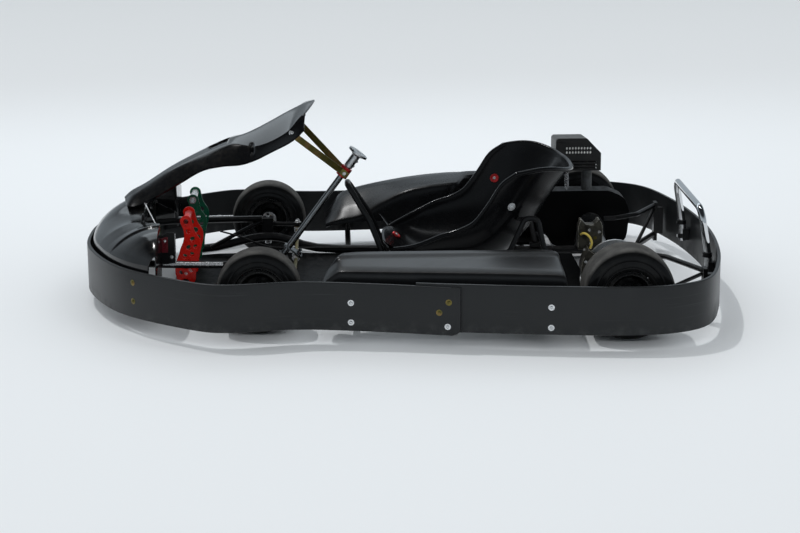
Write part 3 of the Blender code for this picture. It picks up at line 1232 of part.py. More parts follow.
def build_push_bar():
    """The chrome hoop behind the axle, with a foot plate against the band at the end of each leg."""
    y = PUSH_BAR_HALF_WIDTH
    foot_x, top_x = PUSH_BAR_FOOT_X, PUSH_BAR_TOP_X
    path = rounded_path(((foot_x, y, 0.088), (foot_x, y, 0.140), (top_x, y, PUSH_BAR_HEIGHT),
                         (top_x, -y, PUSH_BAR_HEIGHT), (foot_x, -y, 0.140), (foot_x, -y, 0.088)), 0.045, 4)
    push_bar = make("push_bar", tube(bmesh.new(), path, PUSH_BAR_RADIUS, 10), "chrome")
    band = offset_plan(list(reversed([p for p in band_plan() if p.x < -0.6])), BAND_WALL + 0.0008)
    for side in (-1, 1):
        edge = [next(a.lerp(b, (v - a.y) / (b.y - a.y)) for a, b in zip(band, band[1:]) if a.y <= v <= b.y)
                for v in (y - 0.018, y + 0.018)]
        plate = [(p.x, side * p.y) for p in edge]
        plate += [(foot_x + 0.002, side * (y + 0.018)), (foot_x + 0.002, side * (y - 0.018))]
        foot = prism(bmesh.new(), plate, 0.092, 0.128, "z")
        combine(push_bar, foot, "UNION", "push_bar_foot_guide_%d" % (side + 1))


# Engine

def cylinder_frame():
    """The foot of the cylinder, its leaning axis and the way across it towards the front."""
    foot = Vector((CYLINDER_FOOT[0], ENGINE_INNER_Y - ENGINE_DEPTH / 2 + CYLINDER_SHIFT_Y, CYLINDER_FOOT[1]))
    lean = Vector((-math.sin(CYLINDER_LEAN), 0.0, math.cos(CYLINDER_LEAN)))
    return foot, lean, Vector((lean.z, 0.0, -lean.x))


def build_engine():
    low = RAIL_HEIGHT + RAIL_RADIUS + GAP
    top = low + MOUNT_THICKNESS
    tongue = RAIL_REAR_Y - 0.017
    edge = RAIL_REAR_Y + 0.0205
    outline = ((-0.320, -tongue), (-0.320, -edge), (-0.268, -edge), (-0.268, -0.500), (-0.300, -0.545),
               (-0.470, -0.545), (-0.487, -0.500), (-0.487, -edge), (-0.390, -edge), (-0.390, -tongue))
    make("engine_mount", prism(bmesh.new(), outline, low, top, "z"), "aluminium", smooth=False)

    base = top + GAP
    inner, outer = ENGINE_INNER_Y, ENGINE_INNER_Y - ENGINE_DEPTH
    case = ((-0.300, base), (-0.474, base), (-0.474, base + 0.030), (-0.462, 0.215), (-0.430, 0.245),
            (-0.345, 0.245), (-0.305, 0.215), (-0.300, 0.140))
    engine = make("engine_block", prism(bmesh.new(), rounded_outline(case, 0.016, 2), outer, inner), "engine_black")
    foot, lean, across = cylinder_frame()
    rings = []
    steps = [(0.0, 0.0)]
    for k in range(FIN_COUNT):
        start = FIN_START + k * FIN_PITCH
        steps += [(start, 0.0), (start, 1.0), (start + FIN_THICKNESS, 1.0), (start + FIN_THICKNESS, 0.0)]
    steps.append((FIN_START + FIN_COUNT * FIN_PITCH, 0.0))
    for height, fin in steps:
        half_x, half_y = CYLINDER_HALF_X + FIN_REACH_X * fin, CYLINDER_HALF_Y + FIN_REACH_Y * fin
        centre = foot + lean * height
        ring = [centre + across * a * half_x + Vector((0, b * half_y, 0)) for a, b in
                ((-1, -0.7), (-0.8, -1), (0.8, -1), (1, -0.7), (1, 0.7), (0.8, 1), (-0.8, 1), (-1, 0.7))]
        rings.append(ring)
    combine(engine, loft(bmesh.new(), rings), "UNION", "engine_block_cylinder_guide")

    profile = ((0.0005, outer - GAP), (SHROUD_RADIUS, outer - GAP), (SHROUD_RADIUS, outer - 0.020),
               (SHROUD_RADIUS - 0.012, outer - 0.034), (0.042, outer - 0.036), (0.038, outer - 0.044),
               (0.0005, outer - 0.044))
    cover = turned(profile, 22)
    bmesh.ops.translate(cover, verts=cover.verts, vec=(CRANK_X - 0.002, 0, CRANK_HEIGHT))
    make("recoil_cover", cover, "engine_black")

    x0, x1 = -0.362, -0.290
    tank = rounded_outline(((x0, 0.258), (x1, 0.258), (x1, 0.288), (x1 - 0.010, 0.299), (x0 + 0.010, 0.299),
                            (x0, 0.288)), 0.008, 2)
    tank_body = make("fuel_tank", prism(bmesh.new(), tank, outer + 0.001, inner - 0.004), "engine_black")
    legs = bmesh.new()
    block(legs, (-0.358, outer + 0.012, 0.245 + GAP), (-0.350, inner - 0.012, 0.262))
    combine(tank_body, legs, "UNION", "fuel_tank_leg_guide")
    cap = bar(bmesh.new(), (-0.326, (inner + outer) / 2, 0.295), (-0.326, (inner + outer) / 2, 0.311), 0.018, 12)
    combine(tank_body, cap, "UNION", "fuel_tank_cap_guide")

    face_low, face_high = (-0.3007 + 2 * GAP, 0.150), (-0.3043 + 2 * GAP, 0.205)
    filter_box = rounded_outline((face_low, (-0.232, 0.150), (-0.232, 0.222), face_high), 0.010, 2)
    make("air_filter", prism(bmesh.new(), filter_box, outer + 0.008, inner - 0.012), "engine_black")


def build_muffler():
    """The silencer box on the cylinder head, its down pipe and the slotted guard round it."""
    x0, y0, z0 = MUFFLER_GUARD_LOW
    x1, y1, z1 = MUFFLER_GUARD_HIGH
    t = MUFFLER_GUARD_WALL
    rings, inside = [], []
    for y, top in ((y0, z1 - MUFFLER_GUARD_FALL), (y1, z1)):
        rings.append([(x0, y, z0), (x1, y, z0), (x1, y, top), (x0 + 0.048, y, top), (x0, y, top - 0.050)])
    for y, top in ((y0 + t, z1 - MUFFLER_GUARD_FALL - t), (y1 - t, z1 - t)):
        inside.append([(x0 + t, y, z0 - 0.01), (x1 - t, y, z0 - 0.01), (x1 - t, y, top), (x0 + 0.049, y, top),
                       (x0 + t, y, top - 0.049)])
    guard = make("muffler_guard", loft(bmesh.new(), rings), "engine_black", smooth=False)
    combine(guard, loft(bmesh.new(), inside), "DIFFERENCE", "muffler_guard_hollow_guide")
    slots = bmesh.new()
    for k in range(9):
        x = x1 - 0.0355 - k * 0.0098
        for low in (0.372, 0.386):
            block(slots, (x - 0.0032, y1 - 0.010, low), (x + 0.0032, y1 + 0.010, low + 0.0105))
    for k in range(3):
        low = 0.3225 + k * 0.0105
        block(slots, (x1 - 0.134, y1 - 0.010, low), (x1 - 0.047, y1 + 0.010, low + 0.0050))
    for k in range(5):
        x = x1 - 0.028 - k * 0.017
        block(slots, (x - 0.0045, y0 + 0.030, z1 - 0.030), (x + 0.0045, y1 - 0.030, z1 + 0.010))
    combine(guard, slots, "DIFFERENCE", "muffler_guard_slots_guide")

    mid_y = (y0 + y1) / 2
    roof = z1 - MUFFLER_GUARD_FALL - 0.018
    box = rounded_outline(((x0 + 0.020, z0 + 0.012), (x1 - 0.012, z0 + 0.012), (x1 - 0.012, roof),
                           (x0 + 0.054, roof), (x0 + 0.020, roof - 0.036)), 0.010, 2)
    muffler = make("muffler", prism(bmesh.new(), box, y0 + 0.014, y1 - 0.014), "cast")
    pipe = bar(bmesh.new(), (-0.634, -0.335, 0.244), (-0.634, -0.335, 0.330), 0.018, 14)
    combine(muffler, pipe, "UNION", "muffler_pipe_guide")
    foot, lean, across = cylinder_frame()
    foot.y = y0 + 0.019
    port = foot + lean * (FIN_START + (FIN_COUNT - 1) * FIN_PITCH + FIN_THICKNESS / 2)
    port -= across * (CYLINDER_HALF_X + FIN_REACH_X + 2 * GAP)
    knee = port - across * 0.018
    entry = Vector((x1 - 0.032, foot.y, z0 + 0.022))
    path = rounded_path((port, knee, entry), 0.012, 3)
    combine(muffler, tube(bmesh.new(), path, INLET_RADIUS, 12), "UNION", "muffler_inlet_guide")
    stud = Vector((STUD_X, mid_y, roof - 0.004))
    under = z1 - t - MUFFLER_GUARD_FALL * (y1 - mid_y) / (y1 - y0)
    stud_top = Vector((STUD_X, mid_y, under - 0.0012))
    combine(muffler, bar(bmesh.new(), stud, stud_top, 0.006, 8), "UNION", "muffler_stud_guide")
    passage = knee.lerp(entry, (knee.x - x1) / (knee.x - entry.x))
    sideways = Vector((0.010, 0.0, 0.0))
    hole = bar(bmesh.new(), passage - sideways, passage + sideways, INLET_RADIUS + 0.005, 12)
    combine(guard, hole, "DIFFERENCE", "muffler_guard_inlet_guide")


# Pedals

def pedal_outline():
    """A pedal's side plate in the plane of x and z, about its pivot."""
    front = [(0.016, -0.006), (0.030, 0.030), (0.024, 0.075), (0.004, 0.120), (0.000, 0.160), (0.010, 0.190)]
    top = arc((-0.007, PEDAL_REACH - 0.018), 0.018, 10, 170, 5)
    back = [(-0.032, 0.165), (-0.047, 0.140), (-0.050, 0.115), (-0.042, 0.080), (-0.034, 0.040), (-0.030, 0.006)]
    bottom = arc((0.0, 0.0), PEDAL_EYE_RADIUS + 0.002, 200, 330, 4)
    return front + top + back + bottom


def build_pedal(name, finish, inner_y, outer_y, parent):
    """Two side plates with a foot bar between them at the top and a pivot tube at the bottom."""
    low, high = sorted((inner_y, outer_y))
    eye = bar(bmesh.new(), (0, low, 0), (0, high, 0), PEDAL_EYE_RADIUS, 14)
    pedal = make(name, eye, finish, parent)
    for label, y in (("low", low), ("high", high - PEDAL_PLATE)):
        plate = prism(bmesh.new(), pedal_outline(), y, y + PEDAL_PLATE)
        combine(pedal, plate, "UNION", "%s_%s_plate_guide" % (name, label))
    foot_bar = bar(bmesh.new(), (-0.007, low - 0.004, PEDAL_REACH - 0.018), (-0.007, high + 0.004,
                   PEDAL_REACH - 0.018), PEDAL_BAR_RADIUS, 12)
    combine(pedal, foot_bar, "UNION", name + "_bar_guide")
    bore = bar(bmesh.new(), (0, low - 0.02, 0), (0, high + 0.02, 0), circumscribed(PEDAL_SHAFT_RADIUS + RUNNING, 12),
               12)
    combine(pedal, bore, "DIFFERENCE", name + "_bore_guide")


def build_front_cross_tube():
    """The front cross tube with the lugs and shafts that carry the two pedals."""
    y_end = rail_at(FRONT_CROSS_X).y - RAIL_RADIUS - 3 * GAP
    height = rail_at(FRONT_CROSS_X).z
    cross = make("front_cross_tube", bar(bmesh.new(), (FRONT_CROSS_X, -y_end, height), (FRONT_CROSS_X, y_end, height),
                                         CROSS_RADIUS, 10), "frame_black")
    lug = 0.005
    for label, inner_y, outer_y in (("brake", BRAKE_PEDAL_INNER_Y, BRAKE_PEDAL_OUTER_Y),
                                    ("throttle", THROTTLE_PEDAL_INNER_Y, THROTTLE_PEDAL_OUTER_Y)):
        low, high = sorted((inner_y, outer_y))
        shape = bmesh.new()
        bar(shape, (PEDAL_X, low - RUNNING - lug, PEDAL_HEIGHT), (PEDAL_X, high + RUNNING + lug, PEDAL_HEIGHT),
            PEDAL_SHAFT_RADIUS, 12)
        outline = ((PEDAL_X - 0.010, PEDAL_HEIGHT - 0.010), (FRONT_CROSS_X, height - 0.008),
                   (FRONT_CROSS_X + 0.006, height + 0.004), (PEDAL_X + 0.010, PEDAL_HEIGHT + 0.010),
                   (PEDAL_X - 0.010, PEDAL_HEIGHT + 0.010))
        prism(shape, outline, low - RUNNING - lug, low - RUNNING)
        prism(shape, outline, high + RUNNING, high + RUNNING + lug)
        combine(cross, shape, "UNION", "front_cross_tube_%s_guide" % label, grouped=True)


def build_outriggers(rail, name, side):
    """The rail's two side arms, each with a plate against the band and a post under the pod."""
    plan = band_plan()
    for label, x, inside in (("front", OUTRIGGER_FRONT_X, -GAP), ("rear", OUTRIGGER_REAR_X, BAND_WALL + GAP)):
        out = offset_plan(plan, -abs(inside)) if label == "rear" else offset_plan(plan, inside)
        into = offset_plan(plan, (-abs(inside) if label == "rear" else inside) - 0.005)
        reach = at_x(into, x)
        start = rail_at(x)
        arm = bar(bmesh.new(), (x, side * start.y, RAIL_HEIGHT), (x, side * (reach.y + 0.002), RAIL_HEIGHT),
                  OUTRIGGER_RADIUS, 8)
        combine(rail, arm, "UNION", "%s_%s_arm_guide" % (name, label))
        rings = []
        for step in (-0.020, 0.0, 0.020):
            a, b = at_x(into, x + step), at_x(out, x + step)
            rings.append([(a.x, side * a.y, 0.052), (b.x, side * b.y, 0.052), (b.x, side * b.y, 0.134),
                          (a.x, side * a.y, 0.134)])
        combine(rail, loft(bmesh.new(), rings), "UNION", "%s_%s_plate_guide" % (name, label))
        rows, post_y = (left_pod_rows(), LEFT_POST_Y) if side > 0 else (right_pod_rows(), -RIGHT_POST_Y[label == "rear"])
        corners = [skin_height(rows, x + a * POD_POST_RADIUS, post_y + b * POD_POST_RADIUS)
                   for a in (-1, 1) for b in (-1, 1)]
        top = min(corners) - PLASTIC_WALL / 2 - 2 * GAP
        post = bar(bmesh.new(), (x, post_y, RAIL_HEIGHT), (x, post_y, top), POD_POST_RADIUS, 8)
        combine(rail, post, "UNION", "%s_%s_post_guide" % (name, label))


def main():
    clear_scene()
    build_bands()
    for name, side in (("left_rail", 1), ("right_rail", -1)):
        rail = build_rail(name, side)
        build_outriggers(rail, name, side)
    build_front_cross_tube()
    cross_tube("seat_cross_tube", SEAT_CROSS_X)
    cross_tube("rear_cross_tube", REAR_CROSS_X)
    build_tray()
    build_hoop()

    steering = empty("steering_axis", COLUMN_FOOT)
    steering.rotation_euler = (0.0, -COLUMN_TILT, 0.0)
    build_column(steering)
    build_column_mounts()
    build_column_support()
    for word, side in (("left", 1), ("right", -1)):
        king = empty(word + "_king_axis", (FRONT_AXLE_X, side * KINGPIN_Y, FRONT_TYRE_RADIUS))
        build_stub(word + "_stub_axle", side, king)
        ball = empty(word + "_track_rod_axis", arm_end(side))
        build_track_rod(word + "_track_rod", side, ball)
        wheel = empty(word + "_front_wheel_axis", (FRONT_AXLE_X, side * (FRONT_TYRE_OUTER_Y - FRONT_TYRE_WIDTH / 2),
                                                   FRONT_TYRE_RADIUS))
        build_wheel(side, wheel, ("front_%s_rim" % word, "front_%s_tyre" % word), FRONT_TYRE_RADIUS,
                    FRONT_TYRE_WIDTH, 0.006, 0.030, -0.034,
                    circumscribed(SPINDLE_RADIUS + RUNNING, RIM_FACETS))

    axle = empty("rear_axle_line", (REAR_AXLE_X, 0.0, REAR_AXLE_Z))
    build_axle(axle)
    for word, side in (("left", 1), ("right", -1)):
        wheel = empty("rear_%s_wheel_axis" % word, (0.0, side * (REAR_TYRE_OUTER_Y - REAR_TYRE_WIDTH / 2), 0.0), axle)
        build_wheel(side, wheel, ("rear_%s_rim" % word, "rear_%s_tyre" % word), REAR_TYRE_RADIUS, REAR_TYRE_WIDTH,
                    0.016, 0.036, -0.030, circumscribed(AXLE_RADIUS + GAP, RIM_FACETS))
    crank = empty("crank_line", (CRANK_X, SPROCKET_Y, CRANK_HEIGHT))
    build_sprockets(axle, crank)
    build_chain_and_guard()
    build_carriers()
    build_brake()
    build_cords()
    build_rear_brackets()
    build_push_bar()
    build_engine()
    build_muffler()

    brake = empty("brake_pedal_axis", (PEDAL_X, 0.0, PEDAL_HEIGHT))
    build_pedal("brake_pedal", "brake_red", BRAKE_PEDAL_INNER_Y, BRAKE_PEDAL_OUTER_Y, brake)
    throttle = empty("accelerator_pedal_axis", (PEDAL_X, 0.0, PEDAL_HEIGHT))
    build_pedal("accelerator_pedal", "throttle_green", THROTTLE_PEDAL_INNER_Y, THROTTLE_PEDAL_OUTER_Y, throttle)

    build_nose()
    build_front_panel()
    build_straps()
    build_sidepods()
    build_seat()
    build_seat_stays()


main()
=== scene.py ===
"""Looks of the indoor go-kart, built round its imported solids.

Metres, +X towards the nose, +Y to the driver's left, +Z up. New pieces are surfaces worked out on grids with
numpy, and every finish is a formula on the place of a point.
"""

import math

import bmesh
import bpy
import numpy as np
from mathutils import Matrix, Vector


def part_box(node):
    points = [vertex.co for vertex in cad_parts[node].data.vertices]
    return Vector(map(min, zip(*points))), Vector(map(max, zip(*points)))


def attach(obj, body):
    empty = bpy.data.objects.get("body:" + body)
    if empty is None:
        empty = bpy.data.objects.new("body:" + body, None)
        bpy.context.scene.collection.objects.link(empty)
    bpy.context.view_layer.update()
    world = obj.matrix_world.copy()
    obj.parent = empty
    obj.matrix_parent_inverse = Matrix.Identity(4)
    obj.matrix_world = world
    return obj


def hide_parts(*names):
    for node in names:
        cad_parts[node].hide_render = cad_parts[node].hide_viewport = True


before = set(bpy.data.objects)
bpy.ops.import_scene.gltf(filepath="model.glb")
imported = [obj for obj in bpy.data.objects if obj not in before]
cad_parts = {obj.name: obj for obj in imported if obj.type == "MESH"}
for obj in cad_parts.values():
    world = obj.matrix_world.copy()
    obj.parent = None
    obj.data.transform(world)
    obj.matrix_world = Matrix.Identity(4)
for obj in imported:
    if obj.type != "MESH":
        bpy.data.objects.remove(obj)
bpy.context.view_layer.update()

# Places and sizes that the solids have too
LENGTH, WIDTH = 1.976, 1.544
LEFT = np.array((0.0, 1.0, 0.0))
UP = np.array((0.0, 0.0, 1.0))
FLIP = np.array((1, -1, 1))
SIDES = (("left", 1), ("right", -1))
FRONT_AXLE = np.array((0.4345, 0.0, 0.125))
REAR_AXLE = np.array((-0.6405, 0.0, 0.1355))
FRONT_WHEEL_SIDE, REAR_WHEEL_SIDE = 0.503, 0.609
KING_PIN_SIDE, KING_LOW, KING_BRACKET, KING_TOP = 0.365, 0.066, 0.0944, 0.155
COLUMN_FOOT = np.array((0.386, 0.0, 0.098))
COLUMN_TILT = math.radians(36.6)
COLUMN_AXIS = np.array((-math.sin(COLUMN_TILT), 0.0, math.cos(COLUMN_TILT)))
COLUMN_BACK = np.array((-math.cos(COLUMN_TILT), 0.0, -math.sin(COLUMN_TILT)))
COLUMN_CLAMP = COLUMN_FOOT + COLUMN_AXIS * 0.349
HUB_FOOT = COLUMN_FOOT + COLUMN_AXIS * 0.4204
ARM_END = np.array((0.3345, 0.347, 0.1172))
ROD_INNER = COLUMN_FOOT + COLUMN_AXIS * 0.0352 + COLUMN_BACK * 0.038 + LEFT * 0.021
PEDAL_PIVOT = np.array((0.672, 0.0, 0.078))
BAND_LOW, BAND_HEIGHT, BAND_WALL = 0.044, 0.142, 0.010
FRONT_BAND_INSIDE, FRONT_BAND_OUTSIDE = 0.0003, 0.0103
FRONT_BAND_END, BAND_LAP = -0.1475, 0.127
HOOP_LEG, HOOP_HEIGHT = 0.325, 0.158
MOULDED_WALL = 0.0036

# The band in plan: shares of half the length and of half the width, from the nose to the tail
BAND_PLAN = ((0.9896, 0.0), (0.963, 0.275), (0.847, 0.585), (0.635, 0.825), (0.515, 0.878),
             (0.315, 0.835), (0.085, 0.868), (-0.140, 0.925), (-0.435, 0.980), (-0.648, 1.0),
             (-0.790, 0.965), (-0.890, 0.850), (-0.952, 0.590), (-0.987, 0.300), (-1.0, 0.0))
# The nose's crest: distance from the middle and height
NOSE_CREST = ((0.0, 0.305), (0.050, 0.299), (0.100, 0.285), (0.150, 0.276), (0.200, 0.272), (0.250, 0.275),
              (0.300, 0.282), (0.340, 0.286), (0.380, 0.287), (0.420, 0.283), (0.460, 0.271), (0.495, 0.252),
              (0.520, 0.232))
# The front panel's stations: middle (x, z), ridge (x, y, z) and lower edge (x, y, z)
PANEL_STATIONS = (
    ((0.872, 0.304), (0.868, 0.022, 0.302), (0.862, 0.060, 0.296)),
    ((0.848, 0.325), (0.843, 0.030, 0.321), (0.850, 0.095, 0.295)),
    ((0.800, 0.351), (0.798, 0.032, 0.347), (0.804, 0.104, 0.306)),
    ((0.716, 0.404), (0.713, 0.036, 0.401), (0.700, 0.112, 0.365)),
    ((0.612, 0.456), (0.610, 0.046, 0.452), (0.623, 0.118, 0.410)),
    ((0.536, 0.488), (0.535, 0.065, 0.481), (0.560, 0.126, 0.426)),
    ((0.493, 0.501), (0.490, 0.092, 0.483), (0.500, 0.138, 0.433)),
    ((0.455, 0.517), (0.455, 0.125, 0.484), (0.455, 0.147, 0.448)),
    ((0.405, 0.543), (0.405, 0.140, 0.501), (0.403, 0.152, 0.474)),
    ((0.350, 0.573), (0.350, 0.143, 0.533), (0.350, 0.155, 0.501)),
    ((0.300, 0.597), (0.316, 0.130, 0.570), (0.322, 0.153, 0.521)),
    ((0.268, 0.607), (0.296, 0.108, 0.585), (0.301, 0.146, 0.541)),
)
# The seat's spine (x, z) and rim (x, y, z), from its front lip to its top
SEAT_SPINE = ((0.060, 0.172), (-0.020, 0.102), (-0.120, 0.080), (-0.240, 0.086), (-0.330, 0.125),
              (-0.410, 0.215), (-0.470, 0.310), (-0.531, 0.397))
SEAT_RIM = ((0.036, 0.160, 0.160), (-0.038, 0.222, 0.186), (-0.117, 0.243, 0.221), (-0.174, 0.248, 0.239),
            (-0.218, 0.249, 0.264), (-0.260, 0.249, 0.319), (-0.300, 0.249, 0.379), (-0.346, 0.247, 0.412))
# Points from the spine to the rim
SEAT_COLUMNS = 30
# The left pod's stations: x, inner side, height and outer ridge
LEFT_POD = ((0.203, 0.500, 0.222, 0.596), (0.188, 0.468, 0.225, 0.601), (0.150, 0.456, 0.226, 0.608),
            (0.040, 0.455, 0.226, 0.622), (-0.200, 0.455, 0.226, 0.648), (-0.390, 0.455, 0.226, 0.674),
            (-0.433, 0.462, 0.225, 0.681), (-0.453, 0.482, 0.221, 0.683))
# The right pod's stations: x, inner side, height of its inner edge, outer ridge and the ridge's height
RIGHT_POD = ((0.240, 0.440, 0.112, 0.590, 0.118), (0.222, 0.430, 0.120, 0.597, 0.150),
             (0.190, 0.424, 0.128, 0.604, 0.193), (0.120, 0.420, 0.140, 0.611, 0.213),
             (0.050, 0.420, 0.186, 0.618, 0.226), (-0.030, 0.420, 0.226, 0.627, 0.238),
             (-0.110, 0.420, 0.243, 0.636, 0.246), (-0.180, 0.421, 0.250, 0.642, 0.250),
             (-0.212, 0.440, 0.250, 0.644, 0.250), (-0.245, 0.570, 0.249, 0.646, 0.250),
             (-0.340, 0.577, 0.246, 0.650, 0.247), (-0.470, 0.580, 0.238, 0.656, 0.239))

# The camera, as fitted to the photograph: its place, its turns and its focal length in pixels
CAMERA_PLACE = (0.2033, 6.3042, 1.6064)
CAMERA_YAW, CAMERA_PITCH, CAMERA_ROLL = -0.0318, 0.2394, -0.0054
FOCAL_PIXELS, PICTURE_WIDTH, SENSOR_WIDTH = 2026.7, 800, 36.0


# Shader formulas

class Tone:
    """A shader value. Arithmetic on it adds Math nodes, so that a mask reads as a formula."""

    def __init__(self, paint, socket):
        self.paint = paint
        self.socket = socket

    def math(self, operation, *values):
        return self.paint.node("ShaderNodeMath", {"operation": operation}, dict(enumerate(values)))

    def __add__(self, other):
        return self.math("ADD", self, other)

    __radd__ = __add__

    def __sub__(self, other):
        return self.math("SUBTRACT", self, other)

    def __rsub__(self, other):
        return self.math("SUBTRACT", other, self)

    def __mul__(self, other):
        return self.math("MULTIPLY", self, other)

    __rmul__ = __mul__

    def sine(self):
        return self.math("SINE", self)

    def most(self, other):
        return self.math("MAXIMUM", self, other)

    def rise(self, low, high):
        """0 below low, 1 above high and a smooth step between; it falls where low is the larger."""
        flip = low > high
        low, high = min(low, high), max(low, high)
        return self.paint.node("ShaderNodeMapRange", {"interpolation_type": "SMOOTHSTEP"},
                               {"Value": self, "From Min": low, "From Max": high, "To Min": float(flip),
                                "To Max": float(not flip)})


class Paint:
    """A material whose inputs are formulas on the place of a point."""

    def __init__(self, name, **fixed):
        self.material = bpy.data.materials.new(name)
        self.material.use_nodes = True
        self.tree = self.material.node_tree
        self.shader = self.tree.nodes["Principled BSDF"]
        for word, value in fixed.items():
            self.socket(word).default_value = value
        self.place = self.node("ShaderNodeTexCoord", {}, {}, "Object")

    def socket(self, word):
        """The shader's socket for a word such as base_color."""
        return self.shader.inputs[word.replace("_", " ").title().replace("Ior", "IOR")]

    def node(self, kind, settings, values, out=0):
        """Adds a node: its settings first, then the values or links of its sockets."""
        item = self.tree.nodes.new(kind)
        for key, value in settings.items():
            if key == "stops":
                ramp = item.color_ramp
                while len(ramp.elements) < len(value):
                    ramp.elements.new(0.5)
                for element, (where, colour) in zip(ramp.elements, value):
                    element.position = where
                    element.color = (*colour, 1.0)
            else:
                setattr(item, key, value)
        for key, value in values.items():
            self.fill(item.inputs[key], value)
        return Tone(self, item.outputs[out])

    def fill(self, socket, value):
        """Links a formula to a socket, or sets a plain value there."""
        if isinstance(value, Tone):
            self.tree.links.new(value.socket, socket)
        else:
            socket.default_value = value

    def at(self, scale, turn=(0, 0, 0)):
        """The place of a point, turned and scaled."""
        return self.node("ShaderNodeMapping", {}, {"Vector": self.place, "Rotation": turn, "Scale": scale})

    def noise(self, scale, detail=3.0, rough=0.55, where=None):
        values = {"Vector": where or self.place, "Scale": scale, "Detail": detail, "Roughness": rough}
        return self.node("ShaderNodeTexNoise", {}, values, "Fac")

    def cells(self, scale):
        """The distance to the nearest of many scattered points."""
        return self.node("ShaderNodeTexVoronoi", {}, {"Vector": self.place, "Scale": scale}, "Distance")

    def part(self, number, where=None):
        """One of the three numbers of a place or a direction: 0, 1 or 2 for x, y or z."""
        return self.node("ShaderNodeSeparateXYZ", {}, {0: where or self.place}, number)

    def normal(self):
        return self.node("ShaderNodeNewGeometry", {}, {}, "Normal")

    def upward(self):
        """1 on faces that look up, 0 on walls, less on undersides."""
        return self.part(2, self.normal())

    def mix(self, share, first, second):
        """A colour between two others."""
        first, second = [c if isinstance(c, Tone) else (*c, 1.0) for c in (first, second)]
        return self.node("ShaderNodeMix", {"data_type": "RGBA"}, {0: share, 6: first, 7: second}, 2)

    def ramp(self, share, *stops):
        return self.node("ShaderNodeValToRGB", {"stops": stops}, {0: share})

    def bump(self, height, depth, strength, normal=None):
        """A normal bent by a height; depth is the height's size in metres."""
        values = {"Height": height, "Distance": depth, "Strength": strength}
        if normal:
            values["Normal"] = normal
        return self.node("ShaderNodeBump", {}, values)

    def rounded(self, radius):
        """A normal that rounds off edges over a radius."""
        return self.node("ShaderNodeBevel", {"samples": 4}, {"Radius": radius})

    def edge(self, radius):
        """1 along outside and inside edges, 0 on flats: how far the rounded normal leans off the true one."""
        same = self.node("ShaderNodeVectorMath", {"operation": "DOT_PRODUCT"},
                         {0: self.rounded(radius), 1: self.normal()}, "Value")
        return (1 - same).rise(0.02, 0.25)

    def feed(self, **sockets):
        for word, value in sockets.items():
            self.fill(self.socket(word), value)
        return self.material


# Finishes

def band_plastic():
    """Satin black sheet plastic: long level scuffs, a fine pebble and road dust along its lower edge."""
    p = Paint("band_plastic", specular_ior_level=0.31)
    rub = p.noise(5.0, 3.0).rise(0.50, 0.70)
    scuff = p.noise(1.0, 5.0, 0.65, p.at((2.2, 2.2, 190.0))).rise(0.56, 0.72) * rub
    dust = p.noise(34.0, 5.0, 0.6).rise(0.42, 0.75) * p.part(2).rise(0.085, 0.040)
    fleck = p.cells(420.0).rise(0.16, 0.06) * p.noise(14.0).rise(0.52, 0.64)
    colour = p.mix(p.noise(3.0), (0.0105, 0.0115, 0.0125), (0.0150, 0.0163, 0.0172))
    colour = p.mix(scuff * 0.30, colour, (0.075, 0.078, 0.082))
    colour = p.mix(dust * 0.16 + fleck * 0.12, colour, (0.22, 0.22, 0.215))
    pebble = p.noise(900.0, 2.0)
    normal = p.bump(pebble * 0.5 + scuff * 0.4 - p.noise(5.0, 2.0) * 3.0, 0.0004, 0.45)
    return p.feed(base_color=colour, roughness=0.36 + rub * 0.09 + dust * 0.3 + scuff * 0.12, normal=normal)


def gloss_plastic(name="gloss_plastic", dusty=1.0, rough=0.14, level=0.42, coat=0.12):
    """Glossy black moulding: a soft orange peel, fine dust on what faces up and hairline scratches."""
    p = Paint(name, specular_ior_level=level, coat_weight=coat, coat_roughness=0.10)
    peel = p.noise(160.0, 2.0)
    wave = p.noise(7.0, 2.0)
    haze = p.noise(16.0, 5.0, 0.62).rise(0.38, 0.78)
    dust = p.upward().rise(0.25, 0.95) * p.noise(60.0, 5.0, 0.7).rise(0.40, 0.75) * dusty
    hair = p.noise(1.0, 2.0, 0.5, p.at((9, 300, 60), (0.4, 0.2, 0.7))).rise(0.70, 0.78)
    hair = hair.most(p.noise(1.0, 2.0, 0.5, p.at((260, 12, 50), (0.1, 0.5, 0.3))).rise(0.71, 0.79))
    colour = p.mix(haze * 0.5, (0.0035, 0.0037, 0.0042), (0.0070, 0.0074, 0.0085))
    colour = p.mix(dust * 0.035, colour, (0.30, 0.26, 0.20))
    return p.feed(base_color=colour, roughness=rough + haze * 0.05 + dust * 0.04 + hair * 0.03,
                  normal=p.bump(peel * 0.25 + wave * 2.0, 0.0006, 0.35))


def powder_coat(name="powder_coat", base=(0.0048, 0.0050, 0.0055), rough=0.30, level=0.28):
    """Satin powder coat on steel: orange peel, dust on top and small chips along its edges."""
    p = Paint(name, specular_ior_level=level)
    peel = p.noise(420.0, 2.0)
    dust = p.upward().rise(0.2, 0.95) * p.noise(48.0, 5.0, 0.65).rise(0.40, 0.78)
    chip = p.edge(0.0016) * p.noise(120.0, 3.0).rise(0.60, 0.68)
    colour = p.mix(dust * 0.06, base, (0.26, 0.25, 0.24))
    colour = p.mix(chip * 0.7, colour, (0.20, 0.19, 0.18))
    return p.feed(base_color=colour, roughness=rough + dust * 0.25 + peel * 0.05,
                  normal=p.bump(peel, 0.00025, 0.5, p.rounded(0.0016)))


